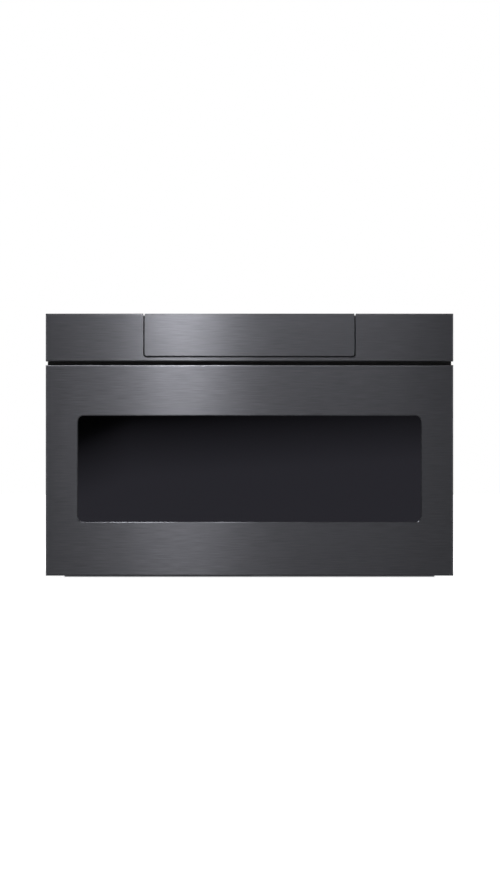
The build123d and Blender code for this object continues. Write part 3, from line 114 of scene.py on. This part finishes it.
# ---------------------------------------------------------------- balls of the slides
ball_places = 4
ball_pitch = 0.040
outer_ball_radius = 0.00210
inner_ball_radius = 0.00232
ball_proud = 0.0003         # how far a ball stands out of its cage
cage_width = 0.005

# ---------------------------------------------------------------- keys and display
skin = 0.00005              # how far printed marks stand off their surface
key_thickness = 0.003
key_size = (0.0150, 0.0130)
key_corner = 0.0022
key_corner_steps = 4
key_line = 0.00045
key_columns = (0.046, 0.0645, 0.083, 0.1015, 0.120)
key_rows = (0.0085, -0.0085)
digit_height = 0.0062
type_size = 1.35            # size of the type over the height of its digits
display_size = (0.058, 0.0220)
display_rise = 0.0003
clock_height = 0.0130
slope_rounds = 8            # in which the panel's slope settles

# ---------------------------------------------------------------- places inside the CAD's pieces
sheet_ripple = 9000.0       # radians per metre across the transformer's core sheets
winding_depth = 0.0312      # from the transformer's middle to where its windings stand out
winding_half_height = 0.0252
board_face_rise = 0.0079    # from the feet of a board's standoffs to its upper face


# ---------------------------------------------------------------- shader helpers
class Finish:
    """A procedural material whose textures lie in the object's own space."""

    def __init__(self, name, **sockets):
        self.material = bpy.data.materials.new(name)
        self.material.use_nodes = True
        self.tree = self.material.node_tree
        self.shader = self.tree.nodes["Principled BSDF"]
        self.place = self.node("ShaderNodeTexCoord").outputs["Object"]
        for key, value in sockets.items():
            self.shader.inputs[key.replace("_", " ").title()].default_value = value

    def socket(self, name, value):
        self.shader.inputs[name].default_value = value

    def node(self, kind, **settings):
        made = self.tree.nodes.new(kind)
        for key, value in settings.items():
            setattr(made, key, value)
        return made

    def link(self, source, target):
        self.tree.links.new(source, target)

    def stretched(self, scale):
        """The object's own coordinates, scaled along each axis."""
        mapping = self.node("ShaderNodeMapping")
        mapping.inputs["Scale"].default_value = scale
        self.link(self.place, mapping.inputs["Vector"])
        return mapping.outputs["Vector"]

    def noise(self, scale, detail=3.0):
        texture = self.node("ShaderNodeTexNoise")
        texture.inputs["Scale"].default_value = 1.0
        texture.inputs["Detail"].default_value = detail
        self.link(self.stretched(scale), texture.inputs["Vector"])
        return texture.outputs["Fac"]

    def cells(self, scale, randomness=1.0, output="Distance"):
        texture = self.node("ShaderNodeTexVoronoi")
        texture.inputs["Scale"].default_value = 1.0
        texture.inputs["Randomness"].default_value = randomness
        self.link(self.stretched(scale), texture.inputs["Vector"])
        return texture.outputs[output]

    def spread(self, value, low, high, start=0.0, end=1.0):
        """Maps start..end to low..high."""
        mapped = self.node("ShaderNodeMapRange")
        mapped.inputs["From Min"].default_value = start
        mapped.inputs["From Max"].default_value = end
        mapped.inputs["To Min"].default_value = low
        mapped.inputs["To Max"].default_value = high
        self.link(value, mapped.inputs["Value"])
        return mapped.outputs["Result"]

    def blend(self, factor, first, second):
        """Mixes two colours; each is an RGB tuple or another node's output."""
        mixed = self.node("ShaderNodeMix", data_type="RGBA")
        self.link(factor, mixed.inputs["Factor"])
        for name, colour in (("A", first), ("B", second)):
            inputs = [socket for socket in mixed.inputs if socket.name == name]
            target = [socket for socket in inputs if socket.type == "RGBA"][0]
            if isinstance(colour, tuple):
                target.default_value = (*colour, 1.0)
            else:
                self.link(colour, target)
        return [socket for socket in mixed.outputs if socket.type == "RGBA"][0]

    def math(self, operation, first, second):
        worked = self.node("ShaderNodeMath", operation=operation)
        for index, value in enumerate((first, second)):
            if isinstance(value, float):
                worked.inputs[index].default_value = value
            else:
                self.link(value, worked.inputs[index])
        return worked.outputs["Value"]

    def along(self, axis):
        """One coordinate of the object's own space."""
        split = self.node("ShaderNodeSeparateXYZ")
        self.link(self.place, split.inputs["Vector"])
        return split.outputs[axis]

    def colour(self, value):
        self.link(value, self.shader.inputs["Base Color"])

    def roughness(self, value):
        self.link(value, self.shader.inputs["Roughness"])

    def bump(self, height, distance, strength=1.0):
        bump = self.node("ShaderNodeBump")
        bump.inputs["Strength"].default_value = strength
        bump.inputs["Distance"].default_value = distance
        self.link(height, bump.inputs["Height"])
        self.link(bump.outputs["Normal"], self.shader.inputs["Normal"])


# ---------------------------------------------------------------- finishes
def black_stainless():
    """Black stainless steel, brushed level: short fine strokes over long faint ones."""
    finish = Finish("black_stainless", metallic=1.0)
    strokes = finish.noise((34.0, 34.0, 1000.0), 4.0)
    bands = finish.noise((16.0, 16.0, 340.0), 3.0)
    fine = finish.math("MULTIPLY", strokes, 0.85)
    faint = finish.math("MULTIPLY", bands, 0.15)
    both = finish.math("ADD", fine, faint)
    spread = finish.spread(both, 0.0, 1.0, 0.32, 0.68)
    finish.colour(finish.blend(spread, (0.0222, 0.0225, 0.0249), (0.0310, 0.0313, 0.0346)))
    finish.roughness(finish.spread(both, 0.290, 0.312, 0.3, 0.7))
    finish.bump(strokes, 0.00001, 0.15)
    tangent = finish.node("ShaderNodeTangent", direction_type="RADIAL", axis="Z")
    finish.link(tangent.outputs["Tangent"], finish.shader.inputs["Tangent"])
    finish.socket("Anisotropic", 0.97)
    finish.socket("Anisotropic Rotation", 0.25)
    return finish.material


def window_glass():
    """Dark door glass, backed in black, with the faintest waviness."""
    finish = Finish("window_glass")
    haze = finish.noise((6.0, 6.0, 6.0), 2.0)
    finish.colour(finish.blend(haze, (0.0001, 0.0001, 0.0002), (0.0003, 0.0003, 0.0004)))
    finish.roughness(finish.spread(haze, 0.02, 0.05))
    finish.bump(finish.noise((14.0, 14.0, 14.0), 1.0), 0.0002, 0.02)
    return finish.material


def inner_glass():
    """Inner pane with the screen's holes showing as a dot grid, the holes painted near black as
    painted shade of the inside seen through them.
    """
    finish = Finish("inner_glass")
    dots = finish.cells((480.0, 1.0, 480.0), 0.0)
    painted_hole_shade = finish.spread(dots, 1.0, 0.0, 0.24, 0.30)
    # The screen's metal is grey; the holes get painted shade, near black, for the dark inside behind
    # them.
    finish.colour(finish.blend(painted_hole_shade, (0.060, 0.060, 0.064), (0.004, 0.004, 0.005)))
    finish.roughness(finish.spread(finish.noise((20.0, 20.0, 20.0)), 0.04, 0.10))
    finish.socket("Coat Weight", 0.6)
    finish.socket("Coat Roughness", 0.03)
    return finish.material


def floor_glass():
    """Milky floor glass, slightly green in its depth."""
    finish = Finish("floor_glass")
    tone = finish.noise((8.0, 8.0, 8.0))
    finish.colour(finish.blend(tone, (0.36, 0.39, 0.385), (0.42, 0.445, 0.44)))
    finish.roughness(finish.spread(finish.noise((60.0, 60.0, 60.0)), 0.05, 0.12))
    finish.socket("Transmission Weight", 0.25)
    finish.socket("IOR", 1.47)
    return finish.material


def frame_enamel():
    """Black paint on the steel behind the door."""
    finish = Finish("frame_enamel")
    tone = finish.noise((30.0, 30.0, 30.0))
    finish.colour(finish.blend(tone, (0.0022, 0.0022, 0.0026), (0.0040, 0.0040, 0.0046)))
    finish.roughness(finish.spread(finish.noise((400.0, 400.0, 400.0)), 0.42, 0.56))
    finish.socket("Specular IOR Level", 0.25)
    finish.bump(finish.noise((900.0, 900.0, 900.0), 2.0), 0.00004, 0.3)
    return finish.material


def galvanised_steel():
    """Zinc-coated sheet with its spangle, a little dulled in places."""
    finish = Finish("galvanised_steel", metallic=1.0)
    spangle = finish.cells((95.0, 95.0, 95.0), 1.0, "Color")
    grain = finish.node("ShaderNodeRGBToBW")
    finish.link(spangle, grain.inputs["Color"])
    dull = finish.noise((7.0, 7.0, 7.0), 4.0)
    tone = finish.blend(grain.outputs["Val"], (0.36, 0.375, 0.385), (0.47, 0.485, 0.495))
    finish.colour(finish.blend(finish.spread(dull, 0.0, 0.45, 0.45, 0.75), tone, (0.34, 0.35, 0.36)))
    finish.roughness(finish.spread(grain.outputs["Val"], 0.30, 0.46))
    finish.bump(finish.noise((500.0, 500.0, 500.0), 2.0), 0.00003, 0.2)
    return finish.material


def cavity_enamel():
    """Grey enamel of the oven, flecked with darker grains."""
    finish = Finish("cavity_enamel")
    fleck = finish.cells((900.0, 900.0, 900.0))
    tone = finish.blend(finish.noise((9.0, 9.0, 9.0)), (0.36, 0.37, 0.38), (0.44, 0.45, 0.46))
    finish.colour(finish.blend(finish.spread(fleck, 0.5, 0.0, 0.10, 0.28), tone, (0.12, 0.12, 0.13)))
    finish.roughness(finish.spread(finish.noise((120.0, 120.0, 120.0)), 0.28, 0.42))
    finish.bump(finish.noise((700.0, 700.0, 700.0), 2.0), 0.00005, 0.25)
    return finish.material


def rolled_steel(name, tone, roughness, along):
    """Bright plated steel with rolling marks along one axis."""
    finish = Finish(name, metallic=1.0)
    scale = tuple(12.0 if axis == along else 900.0 for axis in "xyz")
    marks = finish.noise(scale, 3.0)
    patches = finish.noise((25.0, 25.0, 25.0), 3.0)
    darker = tuple(0.82 * part for part in tone)
    finish.colour(finish.blend(finish.spread(patches, 0.0, 1.0, 0.35, 0.65), darker, tone))
    finish.roughness(finish.spread(marks, roughness - 0.07, roughness + 0.09))
    finish.bump(marks, 0.00002, 0.25)
    return finish.material


def moulded(name, dark, light, roughness, grain=1100.0, depth=0.00003):
    """Moulded plastic or rubber with a fine spark-eroded grain."""
    finish = Finish(name)
    finish.colour(finish.blend(finish.noise((18.0, 18.0, 18.0), 3.0), dark, light))
    uneven = finish.noise((140.0, 140.0, 140.0))
    finish.roughness(finish.spread(uneven, roughness - 0.06, roughness + 0.08))
    finish.bump(finish.cells((grain, grain, grain)), depth, 0.35)
    return finish.material


def tray_resin():
    """Pale grey heat-proof resin of the drawer, with a sparse speckle."""
    finish = Finish("tray_resin")
    fleck = finish.cells((420.0, 420.0, 420.0))
    tone = finish.blend(finish.noise((10.0, 10.0, 10.0)), (0.47, 0.48, 0.49), (0.53, 0.54, 0.55))
    finish.colour(finish.blend(finish.spread(fleck, 0.35, 0.0, 0.06, 0.16), tone, (0.26, 0.26, 0.27)))
    finish.roughness(finish.spread(finish.noise((90.0, 90.0, 90.0)), 0.32, 0.45))
    finish.bump(finish.noise((800.0, 800.0, 800.0), 2.0), 0.00004, 0.25)
    return finish.material


def mica():
    """Pressed mica: mottled flakes with a soft sheen."""
    finish = Finish("mica")
    flakes = finish.cells((160.0, 160.0, 160.0), 1.0, "Color")
    shade = finish.node("ShaderNodeRGBToBW")
    finish.link(flakes, shade.inputs["Color"])
    finish.colour(finish.blend(shade.outputs["Val"], (0.52, 0.46, 0.34), (0.72, 0.68, 0.58)))
    finish.roughness(finish.spread(shade.outputs["Val"], 0.30, 0.55))
    finish.bump(finish.noise((300.0, 300.0, 300.0)), 0.00005, 0.3)
    return finish.material


def core_steel():
    """Laminated core between its varnished copper windings."""
    finish = Finish("core_steel", metallic=0.7)
    low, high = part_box("transformer")
    middle = (low + high) / 2
    sheets = finish.math("SINE", finish.math("MULTIPLY", finish.along("X"), sheet_ripple), 0.0)
    height = finish.math("ABSOLUTE", finish.math("SUBTRACT", finish.along("Z"), middle.z), 0.0)
    depth = finish.math("ABSOLUTE", finish.math("SUBTRACT", finish.along("Y"), middle.y), 0.0)
    outside = finish.math("GREATER_THAN", depth, winding_depth)
    coil = finish.math("MULTIPLY", outside, finish.math("LESS_THAN", height, winding_half_height))
    edges = finish.spread(sheets, 0.0, 1.0, -1.0, 1.0)
    iron = finish.blend(edges, (0.10, 0.10, 0.105), (0.22, 0.21, 0.21))
    finish.colour(finish.blend(coil, iron, (0.42, 0.15, 0.06)))
    finish.roughness(finish.spread(finish.noise((200.0, 200.0, 900.0)), 0.40, 0.62))
    finish.bump(finish.noise((200.0, 200.0, 1500.0)), 0.0001, 0.4)
    return finish.material


def circuit_board():
    """Green board: solder mask below, and the dark bodies of its parts above it."""
    finish = Finish("circuit_board")
    tracks = finish.cells((260.0, 260.0, 60.0), 0.6)
    between = finish.spread(tracks, 0.0, 1.0, 0.30, 0.42)
    mask = finish.blend(between, (0.012, 0.10, 0.035), (0.020, 0.16, 0.060))
    parts = finish.cells((45.0, 45.0, 8.0), 1.0, "Color")
    shade = finish.node("ShaderNodeRGBToBW")
    finish.link(parts, shade.inputs["Color"])
    tone = finish.spread(shade.outputs["Val"], 0.0, 1.0, 0.3, 0.7)
    bodies = finish.blend(tone, (0.018, 0.018, 0.020), (0.075, 0.072, 0.066))
    board_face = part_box("power_board")[0].z + board_face_rise
    above = finish.math("GREATER_THAN", finish.along("Z"), board_face)
    finish.colour(finish.blend(above, mask, bodies))
    finish.roughness(finish.spread(finish.noise((150.0, 150.0, 150.0)), 0.30, 0.50))
    return finish.material


def key_glass():
    """Gloss black face of the key panel."""
    finish = Finish("key_glass")
    tone = finish.noise((20.0, 20.0, 20.0))
    finish.colour(finish.blend(tone, (0.006, 0.006, 0.007), (0.010, 0.010, 0.011)))
    finish.roughness(finish.spread(finish.noise((70.0, 70.0, 70.0), 4.0), 0.08, 0.20))
    return finish.material


def print_white():
    """Pale ink of the keys' outlines and digits."""
    finish = Finish("print_white")
    tone = finish.noise((600.0, 600.0, 600.0))
    finish.colour(finish.blend(tone, (0.62, 0.62, 0.62), (0.74, 0.74, 0.74)))
    finish.roughness(finish.spread(finish.noise((900.0, 900.0, 900.0)), 0.45, 0.60))
    return finish.material


def display_blue():
    """Lit digits of the display."""
    finish = Finish("display_blue")
    tone = finish.noise((900.0, 900.0, 900.0))
    finish.colour(finish.blend(tone, (0.20, 0.50, 0.62), (0.30, 0.62, 0.74)))
    finish.socket("Emission Color", (0.35, 0.80, 0.95, 1.0))
    finish.socket("Emission Strength", 0.6)
    return finish.material


materials = {
    "black_stainless": black_stainless(),
    "window_glass": window_glass(),
    "inner_glass": inner_glass(),
    "floor_glass": floor_glass(),
    "frame_enamel": frame_enamel(),
    "galvanised_steel": galvanised_steel(),
    "cavity_enamel": cavity_enamel(),
    "bracket_steel": rolled_steel("bracket_steel", (0.60, 0.61, 0.62), 0.38, "z"),
    "slide_steel": rolled_steel("slide_steel", (0.66, 0.67, 0.69), 0.30, "y"),
    "screw_steel": rolled_steel("screw_steel", (0.70, 0.70, 0.71), 0.25, "x"),
    "black_plastic": moulded("black_plastic", (0.014, 0.014, 0.015), (0.024, 0.024, 0.025), 0.50),
    "key_glass": key_glass(),
    "tray_resin": tray_resin(),
    "glide_plastic": moulded("glide_plastic", (0.72, 0.72, 0.69), (0.80, 0.80, 0.77), 0.42),
    "gear_plastic": moulded("gear_plastic", (0.74, 0.72, 0.64), (0.82, 0.80, 0.72), 0.36),
    "mica": mica(),
    "blade_aluminium": rolled_steel("blade_aluminium", (0.76, 0.77, 0.78), 0.34, "x"),
    "fan_plastic": moulded("fan_plastic", (0.030, 0.030, 0.031), (0.048, 0.048, 0.050), 0.48),
    "motor_steel": rolled_steel("motor_steel", (0.56, 0.56, 0.57), 0.40, "x"),
    "core_steel": core_steel(),
    "circuit_board": circuit_board(),
    "black_rubber": moulded("black_rubber", (0.010, 0.010, 0.010), (0.020, 0.020, 0.020), 0.72, 700.0),
}
ink = print_white()
lit = display_blue()

for row in frame["record"]["subparts"]:
    node_materials = frame["nodes"][row["node"]].data.materials
    node_materials.clear()
    node_materials.append(materials[row["material_slot"]])


# ---------------------------------------------------------------- mesh helpers
def piece_from(bm, name, slot, body, material=None, smooth_angle=35.0):
    """Makes a piece of the object from a bmesh, with its finish and the body that it rides on."""
    mesh = bpy.data.meshes.new(name)
    bmesh.ops.recalc_face_normals(bm, faces=bm.faces)
    bm.to_mesh(mesh)
    bm.free()
    mesh.materials.append(material or materials[slot])
    mesh.shade_smooth()
    mesh.set_sharp_from_angle(angle=radians(smooth_angle))
    piece = bpy.data.objects.new(name, mesh)
    bpy.context.scene.collection.objects.link(piece)
    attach(piece, body)
    return piece


def facing(spot, direction):
    """Matrix that stands a fitting at a spot with its own Z along a direction."""
    turn = Vector(direction).to_track_quat("Z", "Y").to_matrix().to_4x4()
    return Matrix.Translation(spot) @ turn


def turned(bm, rings, place, segments=24):
    """Closed body through rings of (radius, height, how far the ring is pulled in to a cross)."""
    loops = []
    for radius, height, cross in rings:
        loop = []
        for step in range(segments):
            angle = 2 * pi * step / segments
            reach = radius * (1 - cross * sin(2 * angle) ** 2)
            loop.append(bm.verts.new(place @ Vector((reach * cos(angle), reach * sin(angle), height))))
        loops.append(loop)
    for low, high in zip(loops, loops[1:]):
        for step in range(segments):
            after = (step + 1) % segments
            bm.faces.new((low[step], low[after], high[after], high[step]))
    bm.faces.new(loops[0])
    bm.faces.new(loops[-1])


def screws(name, body, spots, direction):
    """Pan-head screws with a cross recess, as one piece."""
    rings = (
        (screw_radius, 0.0, 0.0),
        (screw_radius, 0.35 * screw_height, 0.0),
        (0.92 * screw_radius, 0.70 * screw_height, 0.0),
        (0.70 * screw_radius, 0.95 * screw_height, 0.0),
        (0.58 * screw_radius, screw_height, 0.0),
        (0.50 * screw_radius, screw_height, 0.62),
        (0.34 * screw_radius, 0.30 * screw_height, 0.62),
    )
    bm = bmesh.new()
    for spot in spots:
        turned(bm, rings, facing(Vector(spot), direction))
    return piece_from(bm, name, "screw_steel", body)


def slab(bm, place, size, rise, bevel=0.0):
    """Flat pad on a surface, its upper edge drawn in by the bevel."""
    half_x = size[0] / 2
    half_y = size[1] / 2
    rings = []
    for inset, height in ((0.0, 0.0), (0.0, rise - bevel), (bevel, rise)):
        corners = ((-1, -1), (1, -1), (1, 1), (-1, 1))
        rings.append([
            bm.verts.new(place @ Vector((sx * (half_x - inset), sy * (half_y - inset), height)))
            for sx, sy in corners
        ])
    for low, high in zip(rings, rings[1:]):
        for step in range(4):
            after = (step + 1) % 4
            bm.faces.new((low[step], low[after], high[after], high[step]))
    bm.faces.new(rings[0])
    bm.faces.new(rings[-1])


# ---------------------------------------------------------------- screws of the cabinet
left_low, left_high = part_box("side_panel_left")
right_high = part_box("side_panel_right")[1]
rear_low, rear_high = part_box("rear_cover")
side_spots = [
    (left_low.y + share * (left_high.y - left_low.y), height)
    for share in side_screw_shares
    for height in (left_low.z + edge_inset, left_high.z - edge_inset)
]
screws("side_screws_left", "cabinet", [(left_low.x, y, z) for y, z in side_spots], (-1, 0, 0))
screws("side_screws_right", "cabinet", [(right_high.x, y, z) for y, z in side_spots], (1, 0, 0))
rear_spots = [
    (share * rear_high.x, rear_high.y, height)
    for share in rear_screw_shares
    for height in (rear_low.z + edge_inset, rear_high.z - edge_inset)
]
screws("rear_screws", "cabinet", rear_spots, (0, 1, 0))

# ---------------------------------------------------------------- screws of the drawer and front
door_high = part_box("door_frame")[1]
frame_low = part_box("front_frame")[0]
bracket_low, bracket_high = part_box("door_bracket_right")
door_spots = [
    (side * (door_high.x - door_screw_inset), door_high.y, height)
    for side in (-1, 1)
    for height in door_side_heights
]
door_spots += [(x, door_high.y, z) for x in door_screw_columns for z in door_screw_rows]
screws("door_screws", "drawer", door_spots, (0, 1, 0))
foot_x = bracket_high.x - foot_screw_inset
foot_y = bracket_low.y + foot_sheet
foot_z = (bracket_low.z + bracket_high.z) / 2
foot_spots = [
    (side * foot_x, foot_y, foot_z + rise)
    for side in (-1, 1)
    for rise in (-foot_screw_rise, foot_screw_rise)
]
screws("bracket_screws", "drawer", foot_spots, (0, 1, 0))
frame_spots = [
    (side * frame_screw_x, frame_low.y, height)
    for side in (-1, 1)
    for height in frame_screw_heights
]
screws("front_frame_screws", "cabinet", frame_spots, (0, -1, 0))


# ---------------------------------------------------------------- slides
def slide_balls(name, cages, body, radius):
    """Steel balls in the windows of the ball cages."""
    low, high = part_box(cages)
    middle = (low + high) / 2
    x = high.x - cage_width / 2
    rise = high.z - middle.z - radius + ball_proud
    bm = bmesh.new()
    for side in (-1, 1):
        for up in (-1, 1):
            for place in range(ball_places):
                offset = (place - (ball_places - 1) / 2) * ball_pitch
                spot = Vector((side * x, middle.y + offset, middle.z + up * rise))
                seat = Matrix.Translation(spot)
                bmesh.ops.create_icosphere(bm, subdivisions=3, radius=radius, matrix=seat)
    return piece_from(bm, name, "screw_steel", body, smooth_angle=180.0)


slide_balls("slide_balls_outer", "ball_cages_outer", "outer_cages", outer_ball_radius)
slide_balls("slide_balls_inner", "ball_cages_inner", "inner_cages", inner_ball_radius)

# ---------------------------------------------------------------- keys and display
panel_low, panel_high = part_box("key_panel")
slope = 0.0
for _ in range(slope_rounds):
    drop = panel_high.z - panel_low.z - key_thickness * cos(slope)
    run = panel_high.y - panel_low.y - key_thickness * sin(slope)
    slope = atan2(drop, run)
panel_normal = Vector((0, sin(slope), cos(slope)))
crest = Vector((0, panel_low.y + key_thickness * sin(slope), panel_high.z))
heel = Vector((0, panel_high.y, panel_low.z + key_thickness * cos(slope)))
panel_middle = (crest + heel) / 2
up_slope = (crest - heel).normalized()
panel_axes = Matrix((Vector((1, 0, 0)), -up_slope, panel_normal)).transposed().to_4x4()
panel_place = Matrix.Translation(panel_middle) @ panel_axes


def on_panel(x, y):
    """Spot on the key panel, x across it and y up it as its user reads it, from above the drawer."""
    return panel_place @ Matrix.Translation((x, y, 0))


def panel_text(name, words, x, y, height, material, rise=0.0):
    """Digits that lie on the key panel, or on what stands on it by the rise."""
    curve = bpy.data.curves.new(name, "FONT")
    curve.body = words
    curve.size = height * type_size
    curve.align_x = "CENTER"
    curve.align_y = "CENTER"
    curve.extrude = skin
    holder = bpy.data.objects.new(name + "_curve", curve)
    bpy.context.scene.collection.objects.link(holder)
    bpy.context.view_layer.update()
    mesh = bpy.data.meshes.new_from_object(holder)
    mesh.transform(on_panel(x, y) @ Matrix.Translation((0, 0, rise + skin)))
    bpy.data.objects.remove(holder)
    mesh.materials.clear()
    mesh.materials.append(material)
    piece = bpy.data.objects.new(name, mesh)
    bpy.context.scene.collection.objects.link(piece)
    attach(piece, "control_panel")
    return piece


def key_outline(bm, place):
    """Thin printed line round one key, with rounded corners."""
    loops = []
    for inset, height in ((0.0, 0.0), (0.0, skin), (key_line, skin), (key_line, 0.0)):
        loop = []
        for quarter in range(4):
            toward_x = 1 if quarter in (0, 3) else -1
            toward_y = 1 if quarter in (0, 1) else -1
            for step in range(key_corner_steps + 1):
                angle = (quarter + step / key_corner_steps) * pi / 2
                x = toward_x * (key_size[0] / 2 - key_corner) + (key_corner - inset) * cos(angle)
                y = toward_y * (key_size[1] / 2 - key_corner) + (key_corner - inset) * sin(angle)
                loop.append(bm.verts.new(place @ Vector((x, y, height))))
        loops.append(loop)
    for ring, after_ring in zip(loops, loops[1:] + loops[:1]):
        for step in range(len(ring)):
            after = (step + 1) % len(ring)
            bm.faces.new((ring[step], ring[after], after_ring[after], after_ring[step]))


bm = bmesh.new()
for side in (-1, 1):
    for column in key_columns:
        for row in key_rows:
            key_outline(bm, on_panel(side * column, row))
piece_from(bm, "panel_keys", "key_glass", "control_panel", material=ink)
for number in range(len(key_columns) * len(key_rows)):
    column = key_columns[number % len(key_columns)]
    row = key_rows[number // len(key_columns)]
    panel_text(f"key_digit_{number}", str((number + 1) % 10), column, row, digit_height, ink)

bm = bmesh.new()
slab(bm, on_panel(0.0, 0.0), display_size, display_rise, display_rise / 2)
piece_from(bm, "panel_display", "key_glass", "control_panel", material=materials["window_glass"])
panel_text("display_digits", "12:00", 0.0, 0.0, clock_height, lit, display_rise)

# ---------------------------------------------------------------- floor, lamps, world, camera
box_middle = (cad_box[0] + cad_box[1]) / 2
front_y = cad_box[0].y
scene = bpy.context.scene


def floor():
    """Pale floor; its own small glow keeps it white and leaves the shadow."""
    bm = bmesh.new()
    bmesh.ops.create_circle(bm, cap_ends=True, radius=floor_radius, segments=floor_sides)
    mesh = bpy.data.meshes.new("floor")
    bm.to_mesh(mesh)
    bm.free()
    made = bpy.data.objects.new("floor", mesh)
    scene.collection.objects.link(made)
    made.location.z = -floor_drop
    finish = Finish("floor_paint")
    finish.colour(finish.blend(finish.noise((2.0, 2.0, 2.0)), (0.86, 0.86, 0.86), (0.90, 0.90, 0.90)))
    finish.roughness(finish.spread(finish.noise((5.0, 5.0, 5.0)), 0.85, 0.95))
    path = finish.node("ShaderNodeLightPath")
    seen = finish.math("MAXIMUM", path.outputs["Is Camera Ray"], path.outputs["Is Glossy Ray"])
    seen = finish.math("MAXIMUM", seen, path.outputs["Is Transmission Ray"])
    finish.socket("Emission Color", (1.0, 1.0, 1.0, 1.0))
    finish.socket("Specular IOR Level", 0.0)
    finish.link(finish.math("MULTIPLY", seen, floor_glow), finish.shader.inputs["Emission Strength"])
    mesh.materials.append(finish.material)


def card():
    """Graded card in front of the object, mirrored in the door glass: dark above, grey below."""
    low, high = card_heights
    left, right = -card_half_width, card_half_width
    bm = bmesh.new()
    corners = ((left, low), (right, low), (right, high), (left, high))
    bm.faces.new([bm.verts.new((x, 0.0, z)) for x, z in corners])
    mesh = bpy.data.meshes.new("card")
    bm.to_mesh(mesh)
    bm.free()
    made = bpy.data.objects.new("card", mesh)
    scene.collection.objects.link(made)
    made.location.y = front_y - card_distance
    made.visible_camera = False
    made.visible_diffuse = False
    made.visible_shadow = False
    finish = Finish("card_paint")
    fall = finish.spread(finish.along("X"), card_start_fall, 0.0, *card_fall_reach)
    corner = finish.spread(finish.along("X"), card_corner_fall, 0.0, *card_corner_reach)
    depth = finish.math("ADD", finish.along("Z"), finish.math("ADD", fall, corner))
    share = finish.spread(depth, 0.0, 1.0, card_start_right, card_start_right - card_fade)
    level = finish.math("MULTIPLY", finish.math("POWER", share, card_curve), card_level)
    finish.socket("Base Color", (0.0, 0.0, 0.0, 1.0))
    finish.socket("Roughness", 1.0)
    finish.socket("Specular IOR Level", 0.0)
    finish.socket("Emission Color", (0.82, 0.80, 1.0, 1.0))
    finish.link(level, finish.shader.inputs["Emission Strength"])
    mesh.materials.append(finish.material)


def lamp(name, at, target, size, power, only=None):
    """Soft rectangular lamp, aimed at a point; it may light only one collection."""
    light = bpy.data.lights.new(name, "AREA")
    light.shape = "RECTANGLE"
    light.size, light.size_y = size
    light.energy = power
    made = bpy.data.objects.new(name, light)
    scene.collection.objects.link(made)
    made.location = at
    aim = Vector(target) - Vector(at)
    made.rotation_euler = aim.to_track_quat("-Z", "Y").to_euler()
    made.visible_camera = False
    if only:
        made.light_linking.receiver_collection = only


def world():
    """White surroundings for what is seen or mirrored, dimmer as a light."""
    made = bpy.data.worlds.new("studio")
    scene.world = made
    made.use_nodes = True
    tree = made.node_tree
    background = tree.nodes["Background"]
    path = tree.nodes.new("ShaderNodeLightPath")
    seen = path.outputs["Is Camera Ray"]
    for name in ("Is Glossy Ray", "Is Transmission Ray"):
        either = tree.nodes.new("ShaderNodeMath")
        either.operation = "MAXIMUM"
        tree.links.new(seen, either.inputs[0])
        tree.links.new(path.outputs[name], either.inputs[1])
        seen = either.outputs["Value"]
    strength = tree.nodes.new("ShaderNodeMapRange")
    strength.inputs["To Min"].default_value = level_as_light
    strength.inputs["To Max"].default_value = level_as_seen
    tree.links.new(seen, strength.inputs["Value"])
    tree.links.new(strength.outputs["Result"], background.inputs["Strength"])
    background.inputs["Color"].default_value = (1.0, 1.0, 1.0, 1.0)


def camera():
    """Long lens straight on the front, so that the face has the photograph's place and size."""
    metres_per_px = (cad_box[1].x - cad_box[0].x) / (face_right_px - face_left_px)
    frame_height = image_height * metres_per_px
    data = bpy.data.cameras.new("camera")
    data.sensor_width = sensor_size
    data.lens = sensor_size * camera_distance / frame_height
    data.clip_end = 100.0
    made = bpy.data.objects.new("camera", data)
    scene.collection.objects.link(made)
    face_mid_px = (face_left_px + face_right_px) / 2
    x = box_middle.x + (image_width / 2 - face_mid_px) * metres_per_px
    z = cad_box[1].z - (image_height / 2 - face_top_px) * metres_per_px
    made.location = (x, front_y - camera_distance, z)
    made.rotation_euler = (pi / 2, 0.0, 0.0)
    scene.camera = made


floor()
card()
world()
face_middle = (box_middle.x, front_y, box_middle.z)
brushed = bpy.data.collections.new("brushed_front")
for name in ("door_skin", "control_fascia", "flap_skin"):
    brushed.objects.link(frame["nodes"][name])
door_only = bpy.data.collections.new("door_only")
door_only.objects.link(frame["nodes"]["door_skin"])
lamp(
    "strip_lamp", at=(-0.108, front_y - 0.75, 0.88), target=face_middle,
    size=(0.085, 0.24), power=15.5, only=brushed,
)
lamp(
    "tail_lamp", at=(-0.025, front_y - 0.9, 1.02), target=face_middle,
    size=(0.60, 0.20), power=13.5, only=brushed,
)
lamp(
    "edge_lamp", at=(-0.23, front_y - 0.2, 1.20), target=(-0.23, front_y - 0.2, 0.2),
    size=(0.12, 0.30), power=8.5, only=door_only,
)
for name, side in (("left_panel", -1), ("right_panel", 1)):
    lamp(
        name, at=(side * 1.0, front_y - 1.35, 0.42), target=face_middle,
        size=(0.7, 0.34), power=20.0, only=brushed,
    )
object_middle = (0.0, 0.0, 0.2)
lamp("top_lamp", at=(0.3, -0.2, 3.0), target=object_middle, size=(2.4, 2.4), power=14.0)
lamp("side_lamp", at=(2.8, -1.6, 1.6), target=object_middle, size=(1.6, 1.6), power=8.0)
lamp("rear_lamp", at=(-1.8, 2.8, 1.8), target=object_middle, size=(1.6, 1.6), power=8.0)
camera()

scene.view_settings.view_transform = "Standard"
